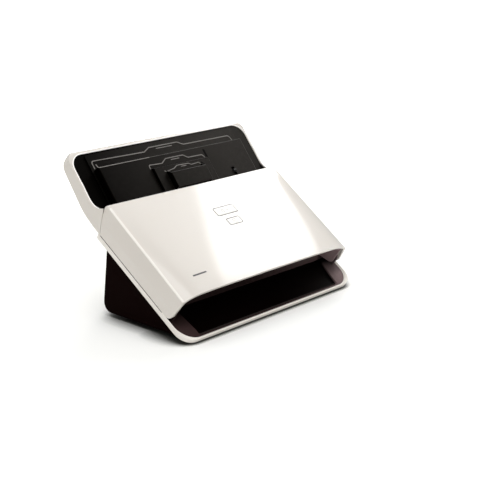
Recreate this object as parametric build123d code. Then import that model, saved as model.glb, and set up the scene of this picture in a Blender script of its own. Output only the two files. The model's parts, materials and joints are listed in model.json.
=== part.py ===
from build123d import *
import math
import os

# Desktop sheet-fed document scanner: white slanted body on a dark wedge stand,
# three-pocket input tray insert at the top, paper exit arch at the front.
# Millimetres, +X right, +Y towards the back, +Z up, table at Z = 0.
#
# Most pieces are drawn in the slab frame, which lies on the joint plane between
# cover and housing: x right, y up the slope, z out of the plane.  Tray pieces are
# drawn in the tray frame (x right, y up the tray, z out of it) inside the slab frame.

os.makedirs("parts", exist_ok=True)

# ------------------------------------------------------- driving dimensions
HALF_W = 137.5              # half width of the white body
Y_SHIFT = 4.9035            # centres the footprint on Y = 0
SLAB_DEG = 34.5             # slope of the joint plane
SLAB_Y, SLAB_Z = -73.7, 22.1    # foot of the cover on that plane
HOUSING_T = 7.0             # depth of the white lower band
LIP_Y = -29.3               # front end of the lower housing
HOUSING_END_Y = 128.2       # rear end of the lower housing
FRONT_R = 18.0              # plan radius of the front corners
INNER_R = 20.5              # plan radius of the rim's inner edge there
WALL = 2.6                  # wall of the white shells
SEAM = 0.2                  # half of the gap between cover and hood
RUN = 0.05                  # radial running clearance

HINGE = (7.0, 7.0)          # (y, z) of the front cover's axis
HINGE_R = 6.6               # rounded foot of the cover about its axis
CHEEK_R = 6.4               # hinge cheek about the same axis
PIN_R = 2.5

TRAY_DEG = 16.9             # slope of the tray above the joint plane
TRAY_Y, TRAY_Z = 209.2, 32.6    # top end of the tray surface
FLAG_X, FLAG_Y = 75.0, -62.0    # paper flag, tray frame
FLAG_PIVOT = (FLAG_Y + 4.0, -6.0)   # (y, z), tray frame

FACE_Z0, FACE_Z1 = 35.6, 31.5   # cover face height at its front and rear ends
FACE_LEN = 134.5

SHEET_HALF = 110.5          # half width of the paper channel
PATH_Z = 8.0                # paper path above the joint plane
TYRE_PROUD = 0.2            # driven tyres stand above the paper path
SHAFT_R = 3.0
FEED_R, EXIT_R, PINCH_R = 9.5, 7.5, 5.0
FEED = (106.0, PATH_Z + TYRE_PROUD - FEED_R)    # (y, z) of the shafts
EXIT = (34.0, PATH_Z + TYRE_PROUD - EXIT_R)
PINCH_SHAFT_R = 1.8
PINCH = (EXIT[0], PATH_Z + TYRE_PROUD + 0.25 + PINCH_R)
FEED_X = (-22.0, 22.0)      # tyre centres
EXIT_X = (-72.0, -24.0, 24.0, 72.0)

# cover buttons on the face frame: y, width, height
BUTTON_X = 5.2
BUTTONS = {
    "scan_button": (91.3, 30.6, 11.0),
    "file_button": (74.4, 19.5, 9.0),
}
# screw posts between cover and inner panel: (x, y)
PANEL_POSTS = [(x, y) for y in (48.0, 114.0) for x in (-104.0, 104.0)]

# scan modules: y0, y1, z0, z1, z of the glass side, direction into the body
LOWER_SCAN = (62.0, 77.0, -7.5, 7.4, 7.4, -1)
UPPER_SCAN = (57.0, 71.0, 10.4, 21.4, 10.4, 1)
SCAN_HALF = 110.0

# cover/hood seam in profile (y, z), then the rounded nose above it
SEAM_PTS = [(124.5, 0.0), (128.9, 7.6), (132.9, 15.0), (136.0, 21.2), (137.9, 25.3)]
NOSE_PTS = [(137.9, 25.3), (137.8, 28.6), (134.9, 31.9)]


# ------------------------------------------------------------------- frames
def tilted(y, z, angle):
    """plane whose y axis climbs towards the back at an angle"""
    return Plane(origin=(0, y, z), x_dir=(1, 0, 0), z_dir=(0, -math.sin(angle), math.cos(angle)))


def station(y, z=0.0, lean=0.0):
    """cross-section plane with x right and y upwards, its top leaning forwards"""
    return Plane(origin=(0, y, z), x_dir=(1, 0, 0), z_dir=(0, -math.cos(lean), -math.sin(lean)))


SLAB_ANGLE = math.radians(SLAB_DEG)
TRAY_ANGLE = math.radians(TRAY_DEG)
WORLD = Plane.XY
SLAB = tilted(SLAB_Y, SLAB_Z, SLAB_ANGLE)
TRAY = tilted(TRAY_Y, TRAY_Z, TRAY_ANGLE)       # inside the slab frame
FACE = tilted(0.0, FACE_Z0, math.atan2(FACE_Z1 - FACE_Z0, FACE_LEN))   # top face of the cover


# ------------------------------------------------------------------ helpers
def polygon(points):
    return make_face(Polyline(*points, close=True))


def lines(*points):
    return [Line(start, end) for start, end in zip(points, points[1:])]


def across(face, x0, x1):
    """solid from a (y, z) face between two x stations"""
    return Pos(x0, 0, 0) * extrude(Plane.YZ * face, amount=x1 - x0)


def prof(points, x0, x1):
    """solid from a closed (y, z) polygon between two x stations"""
    return across(polygon(points), x0, x1)


def plate(face, z0, z1):
    return Pos(0, 0, z0) * extrude(face, amount=z1 - z0)


def block(x0, x1, y0, y1, z0, z1):
    return Pos((x0 + x1) / 2, (y0 + y1) / 2, (z0 + z1) / 2) * Box(x1 - x0, y1 - y0, z1 - z0)


def rod(x0, x1, y, z, radius):
    """round bar along X"""
    return Pos((x0 + x1) / 2, y, z) * Rot(0, 90, 0) * Cylinder(radius, x1 - x0)


def post(x, y, z0, z1, radius):
    return Pos(x, y, (z0 + z1) / 2) * Cylinder(radius, z1 - z0)


def span(side, near, far):
    """x stations, in rising order, on the right (1) or left (-1) side"""
    return sorted((side * near, side * far))


def shifted(points, dy):
    return [(y + dy, z) for y, z in points]


def plan(half, y0, y1, front_r, rear_r):
    """plan outline with rounded front and rear corners"""
    return make_face([
        Line((-half, y0 + front_r), (-half, y1 - rear_r)),
        RadiusArc((-half, y1 - rear_r), (-half + rear_r, y1), rear_r),
        Line((-half + rear_r, y1), (half - rear_r, y1)),
        RadiusArc((half - rear_r, y1), (half, y1 - rear_r), rear_r),
        Line((half, y1 - rear_r), (half, y0 + front_r)),
        RadiusArc((half, y0 + front_r), (half - front_r, y0), front_r),
        Line((half - front_r, y0), (-half + front_r, y0)),
        RadiusArc((-half + front_r, y0), (-half, y0 + front_r), front_r),
    ])


def ease(shape, edges, *sizes, operation=fillet):
    """rounds (or chamfers) the edges with the first size that the geometry allows"""
    edges = list(edges)
    for size in sizes:
        # the kernel may refuse a size; the next one is tried, then the shape stays sharp
        try:
            eased = operation(edges, size)
            if eased.is_valid and 0.75 < eased.volume / shape.volume < 1.02:
                return eased
        except Exception:
            pass
    return shape


def circles(shape):
    return [e for e in shape.edges() if e.geom_type == GeomType.CIRCLE]


def one(shape):
    """largest solid of a result"""
    return max(shape.solids(), key=lambda solid: solid.volume)


def group(items):
    return Compound(children=list(items))


def save(name, shape, frame=SLAB):
    """moves a piece from its drawing frame to the object's frame and writes it"""
    solids = (Pos(0, Y_SHIFT, 0) * (frame.location * shape)).solids()
    piece = solids[0] if len(solids) == 1 else Compound(children=list(solids))
    export_step(piece, "parts/" + name + ".step")


def level_cut(top):
    """world block that flattens the underside of the front lip"""
    return block(-200, 200, -150, -30, top - 20, top)


# ---------------------------------------------- lower housing (world frame)
def lower_housing():
    housing = plate(plan(HALF_W, LIP_Y, HOUSING_END_Y, FRONT_R, 3.0), -HOUSING_T, 0)
    housing = ease(housing, housing.faces().sort_by(Axis.Z)[0].edges(), 2.4, 1.6, 0.8)
    housing = ease(housing, housing.faces().sort_by(Axis.Z)[-1].edges(), 0.8, 0.4)
    # tray pocket, with a chamfered inner rim
    pocket = plan(HALF_W - 3.0, LIP_Y + 3.0, HOUSING_END_Y - 3.0, INNER_R, 1.5)
    housing = housing - plate(pocket, -4.6, 1)
    inner_rim = []
    for edge in housing.edges():
        box = edge.bounding_box()
        on_top = abs(box.min.Z) < 0.02 and abs(box.max.Z) < 0.02
        inside_x = abs(box.min.X) < HALF_W - 2.5 and abs(box.max.X) < HALF_W - 2.5
        if on_top and inside_x and box.min.Y > LIP_Y + 2.5 and box.max.Y < HOUSING_END_Y - 2.0:
            inner_rim.append(edge)
    housing = ease(housing, inner_rim, 2.0, 1.4, 0.8, operation=chamfer)
    # window for the feed mechanism and for the output tray
    housing = housing - block(-124.0, 124.0, 10.0, 121.5, -8, 2)
    housing = housing - plate(plan(121.5, LIP_Y + 7.5, 13.0, 12.0, 1.0), -8, 2)
    # posts that take the hood screws
    for x in (-129.5, 129.5):
        boss = post(x, 112.0, -4.6, -0.6, 3.2) - post(x, 112.0, -8.0, -1.8, 1.2)
        housing = housing + boss
    return one(SLAB.location * housing - level_cut(0.8))


# ------------------------------------------------ output tray (world frame)
def output_tray():
    ledge = plate(plan(HALF_W - 3.15, LIP_Y + 3.15, 13.5, INNER_R - 0.15, 0.6), -4.5, -1.7)
    well_outline = [(-118.0, 16.0), (118.0, 16.0), (112.0, -24.6), (-112.0, -24.6)]
    well = plate(polygon(well_outline), -5.2, 2.8)
    well_corners = [e for e in well.edges()
                    if abs(e.bounding_box().size.Z) > 5 and e.center().Y < 0]
    well = ease(well, well_corners, 3.0, 1.0)
    floor = (plate(plan(121.2, LIP_Y + 7.8, 12.7, 11.7, 0.7), -6.8, -3.0)
             + block(-113.0, 113.0, 10.0, 17.4, -6.8, -3.0))
    tray = ledge + floor - well - block(-113.5, 113.5, 8.0, 18.0, -5.2, 2)
    # thin step along the front of the well
    step_outline = [(-113.4, 16), (113.4, 16), (113.0, -25.5), (-113.0, -25.5)]
    tray = tray - plate(polygon(step_outline), -2.5, -0.5)
    # hinge cheeks stand on the ledge inside the side walls of the cover
    hinge_y, hinge_z = HINGE
    front, rear = hinge_y - CHEEK_R, hinge_y + CHEEK_R
    for side in (-1, 1):
        x0, x1 = span(side, 129.2, 131.6)
        cheek = prof([(front, -3.0), (front, hinge_z), (rear, hinge_z), (rear, -3.0)], x0, x1)
        cheek = cheek + rod(x0, x1, *HINGE, CHEEK_R)
        tray = tray + cheek - rod(x0 - 1, x1 + 1, *HINGE, PIN_R + RUN)
    return one(SLAB.location * tray - level_cut(2.4))


# --------------------------------------------------------------- input hood
def crest(y):
    """height of the hood's rim: a little proud of the tray surface"""
    return TRAY_Z + 1.3 + math.tan(TRAY_ANGLE) * (y - TRAY_Y)


def hood_profile():
    seam = shifted(SEAM_PTS, SEAM)
    foot_z = 0.25
    foot = (seam[0][0], foot_z)
    return make_face([
        Spline(foot, *seam[1:]),
        Spline(seam[-1], (141.4, 22.0), (145.0, 19.6), (149.6, 18.1), (156.0, crest(157.4)),
               (166.0, crest(166.0)), (180.0, crest(180.0))),
        Line((180.0, crest(180.0)), (209.4, crest(209.4))),
        Spline((209.4, crest(209.4)), (212.8, 33.7), (214.9, 30.6), (213.6, 25.8), (208.5, 20.9)),
        Line((208.5, 20.9), (176.0, 9.2)),
        Spline((176.0, 9.2), (164.0, 4.9), (152.0, 1.9), (138.0, 0.7), (130.0, foot_z)),
        Line((130.0, foot_z), foot),
    ])


# sections that the hood's side walls follow, leaning inwards as they rise:
# y, z, lean in degrees, inward slope, half width at height 0
HOOD_DRAFT = [
    (112.0, 0.0, 0.0, 0.17, 137.25),
    (150.0, 1.4, 9.0, 0.15, HALF_W),
    (182.0, 11.4, 18.0, 0.13, HALF_W),
    (226.0, 27.2, 20.0, 0.13, HALF_W),
]


def draft_section(y, z, lean, slope, base_half):
    low, high = -10.0, 55.0
    low_half = base_half - slope * low
    high_half = base_half - slope * high
    points = [(low_half, low), (high_half, high), (-high_half, high), (-low_half, low)]
    return station(y, z, math.radians(lean)) * polygon(points)


def hood_back_edges(hood):
    """lower and rear outline of the hood"""
    found = []
    for edge in hood.edges():
        centre = edge.center()
        size = edge.bounding_box().size
        low = centre.Z < crest(centre.Y) - 9 and centre.Z < 32
        at_side = abs(abs(centre.X) - HALF_W) < 6
        at_rear = centre.Y > 200 and centre.Z < 28
        if centre.Y > 135 and low and size.X + size.Y + size.Z > 4 and (at_side or at_rear):
            found.append(edge)
    return found


def hood_rim_edges(hood):
    """inner edges of the hollow that run along the rim"""
    def on_rim(point):
        if point.Y > 156 and abs(point.Z - crest(point.Y)) < 0.5:
            return True
        return 138.5 < point.Y <= 157 and point.Z > 17.5

    found = []
    for edge in hood.edges():
        box = edge.bounding_box()
        inside = max(abs(box.min.X), abs(box.max.X)) < HALF_W - 3.6
        along = all(on_rim(edge.position_at(t)) for t in (0.0, 0.25, 0.5, 0.75, 1.0))
        if along and inside and box.size.X + box.size.Y > 2:
            found.append(edge)
    return found


def input_hood():
    hood = across(hood_profile(), -HALF_W, HALF_W)
    envelope = one(loft([draft_section(*row) for row in HOOD_DRAFT], ruled=True))
    hood = one(hood & envelope)
    # rounded top corners, seen square to the tray
    hood = hood & (TRAY.location * plate(plan(HALF_W, -120, 7.5, 1.0, 20.0), -60, 60))
    hood = one(hood)
    # hollow: a rounded plan, bounded below by the back wall
    hollow = TRAY.location * plate(plan(HALF_W - 4.1, -130.0, 0.2, 1.0, 16.2), -60, 60)
    hollow = hollow & prof([(120.0, 3.0), (150.0, 4.4), (164.0, 7.9), (176.0, 12.2), (208.0, 23.7),
                            (230.0, 60.0), (100.0, 60.0)], -(HALF_W + 5), HALF_W + 5)
    hood = one(ease(hood, hood_back_edges(hood), 5.0, 4.0, 3.0, 2.0) - hollow)
    return one(ease(hood, hood_rim_edges(hood), 0.7, 0.5, 0.3))


def hood_liner():
    liner_half = HALF_W - 4.25
    liner = TRAY.location * plate(plan(liner_half, -87.8, 0.0, 0.8, 16.0), -2.2, 0.0)
    flange = [(130.4, 7.8), (134.6, 15.0), (138.0, 21.6), (139.6, 22.2), (143.6, 18.9),
              (149.0, 16.9), (156.0, 16.7), (160.0, 17.4), (160.0, 14.0), (130.0, 5.4)]
    for side in (-1, 1):
        liner = liner + prof(flange, *span(side, HALF_W - 5.9, liner_half))
    # lower corners cut back beside the cover's walls
    for side in (1, -1):
        liner = liner - block(*span(side, 132.7, 140.0), 118.0, 130.2, 0.0, 12.0)
    # slot for the paper flag
    liner = liner - TRAY.location * block(FLAG_X - 2.2, FLAG_X + 2.2,
                                          FLAG_Y - 8.0, FLAG_Y + 9.0, -5, 2)
    return one(liner)


# -------------------------------------------------------------- front cover
# right half of the cover's section (x, z) at its front and rear ends:
# side wall from the foot up, then the top from the side to the middle
FRONT_SIDE = [(137.0, 0.3), (135.5, 11.4), (131.8, 26.6)]
REAR_SIDE = [(137.0, 0.3), (135.4, 11.4), (131.5, 29.8)]
FRONT_TOP = [(131.8, 26.6), (126.0, 30.1), (118.0, 33.0), (105.0, 34.6),
             (88.0, 35.2), (44.0, 35.6), (0.0, 35.7)]
REAR_TOP = [(131.5, 29.8), (126.0, 29.95), (118.0, 30.15), (105.0, 30.45),
            (88.0, 30.8), (44.0, 31.45), (0.0, 31.6)]


def blend(front, rear, t):
    return [(a[0] + (b[0] - a[0]) * t, a[1] + (b[1] - a[1]) * t) for a, b in zip(front, rear)]


def cover_section(y, inset):
    """closed section of the cover at a station, pulled in by the inset"""
    side = blend(FRONT_SIDE, REAR_SIDE, y / FACE_LEN)
    top = blend(FRONT_TOP, REAR_TOP, y / FACE_LEN)
    if inset:
        side = [(side[0][0] - inset, -2.0),
                (side[1][0] - inset, side[1][1]),
                (side[2][0] - inset, side[2][1] - inset * 0.75)]
        shoulder = (top[1][0] - inset * 0.55, top[1][1] - inset * 0.88)
        rest = [(x - (inset * 0.25 if x > 100 else 0), z - inset) for x, z in top[2:]]
        top = [side[2], shoulder] + rest
    left_top = [(-x, z) for x, z in reversed(top[:-1])]
    left_side = [(-x, z) for x, z in reversed(side)]
    return station(y) * make_face(lines(*side) + [Spline(*(top + left_top))]
                                  + lines(*left_side, side[0]))


def cover_hollow(inset):
    return one(loft([cover_section(-3.0, inset), cover_section(FACE_LEN + 6.0, inset)]))


def foot_corner(radius):
    """corner below and in front of the hinge axis, outside a radius about it"""
    hinge_y, hinge_z = HINGE
    corner = prof([(-1, -1), (-1, hinge_z), (hinge_y, hinge_z), (hinge_y, -1)], -150, 150)
    return corner - rod(-151, 151, *HINGE, radius)


def front_cover():
    outer = one(loft([cover_section(0.0, 0), cover_section(FACE_LEN + 5.0, 0)]))
    crease = [e for e in outer.edges()
              if e.bounding_box().size.Y > 100 and 20 < e.center().Z < 32]
    outer = ease(outer, crease, 2.2, 1.6, 1.0)
    hollow = cover_hollow(WALL)
    # rear end follows the hood seam
    seam = shifted(SEAM_PTS, -SEAM)
    nose = shifted(NOSE_PTS, -SEAM)
    beyond = lines(nose[-1], (133.0, 38.0), (180.0, 38.0), (180.0, 0.0), seam[0])
    outer = one(outer - across(make_face([Spline(*seam), Spline(*nose)] + beyond), -150, 150))
    cover = outer - hollow
    cover = one(cover - foot_corner(HINGE_R))
    # hinge bosses inside the side walls
    for side in (-1, 1):
        cover = cover + (rod(*span(side, 131.9, 135.6), *HINGE, 5.2) & outer)
        cover = cover - rod(*span(side, 131.0, 134.9), *HINGE, PIN_R)
    # screw posts for the inner panel
    for x, y in PANEL_POSTS:
        cover = cover + ((post(x, y, 13.0, 36.0, 3.6) & outer) - post(x, y, 10.0, 24.0, 1.2))
    for y, width, height in BUTTONS.values():
        opening = extrude(RectangleRounded(width + 0.6, height + 0.6, 1.9), amount=12)
        cover = cover - FACE.location * (Pos(BUTTON_X, y, -8) * opening)
    return one(cover)


# ------------------------------------------------- dark inner panel of cover
# curled sheet in profile (y, z): under side to the rear, upper side back to the front
SHEET = [
    (20.6, 19.2), (23.4, 14.8), (26.2, 12.0), (29.0, 10.7), (31.4, 10.5), (118.0, 10.5),
    (123.5, 11.6), (128.6, 14.6), (133.0, 19.5), (136.4, 25.6), (134.6, 26.6), (131.4, 21.0),
    (127.2, 16.4), (122.6, 13.6), (117.6, 12.6), (31.6, 12.6), (29.8, 12.9), (27.6, 14.2),
    (25.2, 17.0), (22.0, 22.4),
]
# web (y, z) under each side edge of the sheet, at its front end
SHEET_WEB = [
    (20.6, 19.2), (23.4, 14.8), (26.2, 12.0), (29.0, 10.7), (31.4, 10.6), (46.0, 10.6),
    (46.0, 8.2), (22.0, 8.2), (20.6, 9.0),
]


def mouth(y, half, top_z, shoulder_z, shoulder):
    """section of the exit mouth at a station"""
    return station(y) * polygon([
        (half, -6.0), (half, shoulder_z), (half - shoulder, top_z),
        (-(half - shoulder), top_z), (-half, shoulder_z), (-half, -6.0)])


def cover_inner_panel():
    inside = one(loft([mouth(-0.5, 127.6, 31.0, 23.5, 14.0),
                       mouth(22.0, 117.6, 18.4, 13.0, 6.0)], ruled=True))
    outside = one(loft([mouth(0.6, 129.2, 33.0, 25.5, 14.5),
                        mouth(23.0, 119.2, 20.6, 15.0, 6.6)], ruled=True))
    hollow = cover_hollow(WALL + 0.35)
    panel = (outside - inside) & hollow
    panel = panel - prof([(-5, -8), (-5, 0.9), (60, 0.9), (60, -8)], -150, 150)
    panel = panel & prof([(2.2, 60), (2.2, -10), (22.0, -10), (22.0, 60)], -150, 150)
    sheet_half = 117.4
    sheet = prof(SHEET, -sheet_half, sheet_half)
    for side in (-1, 1):
        sheet = sheet + prof(SHEET_WEB, *span(side, sheet_half - 1.0, sheet_half))
    panel = panel + (sheet & hollow)
    for x, y in PANEL_POSTS:
        panel = panel - post(x, y, 8, 14, 1.4)
    # windows: scan module, pinch shaft, pinch rollers, separation pad
    panel = panel - block(-SCAN_HALF - 0.4, SCAN_HALF + 0.4,
                          UPPER_SCAN[0] - 0.4, UPPER_SCAN[1] + 0.4, 9, 14)
    panel = panel - block(-87.4, 87.4, EXIT[0] - 2.2, EXIT[0] + 2.2, 9, 20)
    for x in EXIT_X:
        panel = panel - block(x - 9.0, x + 9.0, EXIT[0] - 6.4, EXIT[0] + 6.4, 5.0, 20)
    panel = panel - block(-16.0, 16.0, 96.0, 116.0, 9, 14)
    return one(panel - foot_corner(HINGE_R - 0.3))


def cover_hinge_pins():
    return group([rod(*span(side, 128.4, 134.8), *HINGE, PIN_R) for side in (1, -1)])


def panel_screw(x, y):
    """screw with its slotted head below"""
    head_z = 10.4
    screw = post(x, y, head_z - 1.4, head_z, 2.5) + post(x, y, head_z - 0.1, head_z + 10.0, 1.15)
    return one(screw - block(x - 1.5, x + 1.5, y - 0.3, y + 0.3, head_z - 2, head_z - 0.7))


# ------------------------------------------------------------------ buttons
def button(y, width, height):
    cap = plate(RectangleRounded(width, height, 1.6), -2.6, 0.3)
    cap = ease(cap, cap.faces().sort_by(Axis.Z)[-1].edges(), 0.5, 0.3)
    flange = plate(RectangleRounded(width + 3.2, height + 2.6, 1.6), -4.2, -3.2)
    stem = plate(RectangleRounded(6, 4, 0.8), -6.2, -2.2)
    neck = plate(RectangleRounded(width - 2, height - 2, 1.0), -3.4, -2.2)
    return one(FACE.location * (Pos(BUTTON_X, y, 0) * (cap + flange + stem + neck)))


def button_board():
    board = Pos(BUTTON_X, 83.0, -9.4) * extrude(RectangleRounded(46, 40, 1.5), amount=1.2)
    for y, _, _ in BUTTONS.values():
        board = board + block(BUTTON_X - 3, BUTTON_X + 3, y - 3, y + 3, -8.2, -7.2)
    return one(FACE.location * board)


# ------------------------------------------------- scan modules and glasses
def scan_module(y0, y1, z0, z1, glass_z, inward):
    outside = glass_z - inward
    middle = (y0 + y1) / 2
    body = block(-SCAN_HALF, SCAN_HALF, y0, y1, z0, z1)
    body = body - block(-107.4, 107.4, y0 + 1.4, y1 - 1.4,
                        *sorted((outside, glass_z + inward * 1.1)))
    body = body - block(-106.0, 106.0, middle - 2.0, middle + 2.0,
                        *sorted((outside, glass_z + inward * 7)))
    return one(body)


def scan_glass(y0, y1, z0, z1, glass_z, inward):
    return block(-107.3, 107.3, y0 + 1.5, y1 - 1.5,
                 *sorted((glass_z - inward * 0.1, glass_z + inward * 1.05)))


def scan_clearance(z0, z1):
    """opening around the lower scan module"""
    return block(-SCAN_HALF - 0.2, SCAN_HALF + 0.2, LOWER_SCAN[0] - 0.2, LOWER_SCAN[1] + 0.2, z0, z1)


# -------------------------------------------------------------- drive train
MODULE = 1.0
GEAR_TEETH, PINION_TEETH = 20, 14
GEAR_X0, GEAR_X1 = 117.6, 122.4
BACKLASH = 0.22
PRESSURE = math.radians(20)     # pressure angle
IDLER_R = 2.0                   # idler posts


def meet(first, second, distance):
    """lower of the two points at a distance from both"""
    middle = [(a + b) / 2 for a, b in zip(first, second)]
    gap = math.hypot(second[0] - first[0], second[1] - first[1])
    height = math.sqrt(distance * distance - gap * gap / 4)
    side_y = -(second[1] - first[1]) / gap
    side_z = (second[0] - first[0]) / gap
    if side_z > 0:
        side_y, side_z = -side_y, -side_z
    return (middle[0] + side_y * height, middle[1] + side_z * height)


def mesh_phase(driver, driver_phase, driven, driven_teeth=GEAR_TEETH):
    """phase of a gear that meshes with a full-size gear"""
    bearing = math.atan2(driven[1] - driver[1], driven[0] - driver[0])
    pitches = GEAR_TEETH * (bearing - driver_phase) / (2 * math.pi)
    return bearing + math.pi - (0.5 - pitches) * 2 * math.pi / driven_teeth


# gear centres (y, z)
GEAR_GAP = MODULE * GEAR_TEETH + 0.06
MOTOR_GAP = MODULE * (GEAR_TEETH + PINION_TEETH) / 2 + 0.06
MOTOR_BEARING = math.radians(-76)
IDLER_MIDDLE = (70.0, -10.0)
IDLER_FRONT = meet(EXIT, IDLER_MIDDLE, GEAR_GAP)
IDLER_REAR = meet(IDLER_MIDDLE, FEED, GEAR_GAP)
IDLERS = (IDLER_FRONT, IDLER_MIDDLE, IDLER_REAR)
MOTOR = (IDLER_MIDDLE[0] + MOTOR_GAP * math.cos(MOTOR_BEARING),
         IDLER_MIDDLE[1] + MOTOR_GAP * math.sin(MOTOR_BEARING))

FEED_PHASE = 0.0
REAR_PHASE = mesh_phase(FEED, FEED_PHASE, IDLER_REAR)
MIDDLE_PHASE = mesh_phase(IDLER_REAR, REAR_PHASE, IDLER_MIDDLE)
FRONT_PHASE = mesh_phase(IDLER_MIDDLE, MIDDLE_PHASE, IDLER_FRONT)
EXIT_PHASE = mesh_phase(IDLER_FRONT, FRONT_PHASE, EXIT)
MOTOR_PHASE = mesh_phase(IDLER_MIDDLE, MIDDLE_PHASE, MOTOR, PINION_TEETH)


def gear_outline(centre, teeth, phase):
    """involute outline; a tooth is centred on the phase angle"""
    pitch_r = MODULE * teeth / 2
    base_r = pitch_r * math.cos(PRESSURE)
    tip_r = pitch_r + 0.92 * MODULE
    root_r = pitch_r - 1.22 * MODULE
    half_tooth = math.pi / (2 * teeth) - BACKLASH / (2 * pitch_r)

    def involute(angle):
        return math.tan(angle) - angle

    def half_angle(radius):
        angle = 0.0 if radius <= base_r else math.acos(base_r / radius)
        return half_tooth + involute(PRESSURE) - involute(angle)

    start_r = max(root_r, base_r)
    radii = [start_r + (tip_r - start_r) * k / 4 for k in range(5)]
    root_angle = half_angle(start_r) + 0.02
    polar = []
    for k in range(teeth):
        middle = phase + 2 * math.pi * k / teeth
        polar.append((root_r, middle - root_angle))
        polar += [(radius, middle - half_angle(radius)) for radius in radii]
        polar += [(radius, middle + half_angle(radius)) for radius in reversed(radii)]
        polar.append((root_r, middle + root_angle))
    return [(centre[0] + radius * math.cos(angle), centre[1] + radius * math.sin(angle))
            for radius, angle in polar]


def gear(centre, phase, bore):
    wheel = prof(gear_outline(centre, GEAR_TEETH, phase), GEAR_X0, GEAR_X1)
    # ring recess in the outer side, where the bore leaves room for it
    recess_r = MODULE * GEAR_TEETH / 2 - 3.4
    if recess_r - (bore + 2.2) > 1.5:
        wheel = wheel - (rod(GEAR_X1 - 1.3, GEAR_X1 + 1, *centre, recess_r)
                         - rod(GEAR_X1 - 3, GEAR_X1 + 2, *centre, bore + 2.0))
    return one(wheel - rod(GEAR_X0 - 20, GEAR_X1 + 20, *centre, bore))


def motor_pinion():
    teeth = prof(gear_outline(MOTOR, PINION_TEETH, MOTOR_PHASE), GEAR_X0 - 0.3, GEAR_X1 + 0.3)
    return one(teeth + rod(112.0, GEAR_X1 + 1.4, *MOTOR, 1.6))


def idler_post(centre):
    return one(rod(113.9, 123.3, *centre, IDLER_R) + rod(116.05, 117.3, *centre, 3.4)
               + rod(122.75, 123.6, *centre, 3.0))


def roller_shaft(centre):
    shaft = rod(-118.5, 123.4, *centre, SHAFT_R)
    for x in (-112.2, 111.0):
        shaft = shaft + rod(x, x + 1.2, *centre, SHAFT_R + 1.0)
    return one(shaft)


def tyre(x, centre, half, radius, bore, *rounding):
    ring = rod(x - half, x + half, *centre, radius)
    ring = ease(ring, circles(ring), *rounding)
    return one(ring - rod(x - half - 1, x + half + 1, *centre, bore))


def bush(centre, side):
    sleeve = rod(*span(side, 112.6, 116.0), *centre, 4.6)
    flange = rod(*span(side, 116.0, 117.0), *centre, 6.0)
    return one(sleeve + flange - rod(-130, 130, *centre, SHAFT_R + RUN))


def feed_motor():
    y, z = MOTOR
    motor = rod(88.0, 109.4, y, z, 17.5)
    motor = ease(motor, circles(motor), 1.2, 0.6)
    motor = motor + rod(109.0, 111.8, y, z, 5.0) + rod(85.6, 88.5, y, z, 4.0)
    motor = motor + Pos(98.0, y - 17.0, z - 4.0) * Box(11, 9, 9)
    return one(motor - rod(109.2, 112.4, y, z, 1.6 + RUN))


def motor_bracket():
    y, z = MOTOR
    top = -6.6
    bracket = block(109.6, 111.4, y - 24.0, y + 24.0, z - 9.0, top)
    bracket = bracket + rod(109.6, 111.4, y, z, 19.0)
    bracket = bracket - rod(108, 113, y, z, 5.2)
    bracket = (bracket + block(109.6, 113.7, y - 24.0, y - 10.0, -8.4, top)
               + block(109.6, 113.7, y + 10.0, y + 24.0, -8.4, top))
    for offset in (-20.5, 20.5):
        bracket = bracket - rod(108, 113, y + offset, z + 4.0, 1.6)
    return one(bracket - scan_clearance(-8.0, 9))


# ------------------------------------------------------------ pinch rollers
def pinch_holder(x):
    holder = block(x - 2.0, x + 2.0, PINCH[0] - 2.1, PINCH[0] + 6.0, 12.65, PINCH[1] + 3.4)
    return one(holder - rod(x - 3, x + 3, *PINCH, PINCH_SHAFT_R + RUN))


# ---------------------------------------------- paper bed with side plates
# front nose (y, z), curling down behind the exit
BED_NOSE = [(24.2, 7.6), (19.5, 5.6), (16.2, 1.6), (14.6, -4.7),
            (16.8, -4.7), (18.4, 0.6), (21.2, 3.9), (24.2, 5.4)]
BED_SIDE = [(14.6, -4.4), (16.2, 1.6), (20.0, 7.6), (124.2, 7.6), (124.2, -2.0),
            (121.3, -4.3), (119.4, -7.0), (113.4, -7.3), (107.0, -16.0), (24.0, -16.0),
            (17.2, -9.0), (17.2, -4.4)]
# feet on the housing floor: x0, x1, y0, y1
BED_FEET = [(-125.8, -115.0, 24.0, 118.0), (115.0, 125.8, 14.7, 20.6),
            (115.0, 125.8, 119.4, 124.0), (-125.8, -115.0, 14.7, 26.0)]


def paper_bed():
    half = SHEET_HALF + 3.2
    plate_x = 113.8             # inner side of the side plates
    bed = block(-half, half, 24.0, 124.2, 5.4, 7.6)
    bed = bed + prof(BED_NOSE, -half, half)
    for side in (-1, 1):
        bed = bed + prof(BED_SIDE, *span(side, plate_x, 116.0))
    bed = bed + block(-plate_x, plate_x, 121.6, 124.2, -2.0, 7.6)
    for foot in BED_FEET:
        bed = bed + block(*foot, -4.4, -2.6)
    # windows for the scan module and the tyres
    bed = bed - scan_clearance(3, 9)
    for x in FEED_X:
        bed = bed - block(x - 13.0, x + 13.0, FEED[0] - 9.4, FEED[0] + 9.4, 3, 9)
    for x in EXIT_X:
        bed = bed - block(x - 9.0, x + 9.0, EXIT[0] - 8.0, EXIT[0] + 8.0, 3, 9)
    # seats of the roller bushes
    for centre in (FEED, EXIT):
        bed = (bed - rod(-120, 120, *centre, 4.6) - rod(-118.0, -115.99, *centre, 6.3)
               - rod(115.99, 118.0, *centre, 6.3))
    # cross ties under the bed
    bed = (bed + block(-plate_x, plate_x, 50.0, 52.0, -6.0, 5.6)
           + block(-plate_x, plate_x, 84.0, 86.0, -6.0, 5.6))
    bed = one(bed - scan_clearance(-9, 9))
    for centre in IDLERS:
        bed = bed - rod(113.0, 116.5, *centre, IDLER_R)
    return one(bed - rod(113, 117, *MOTOR, 3.0))


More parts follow.
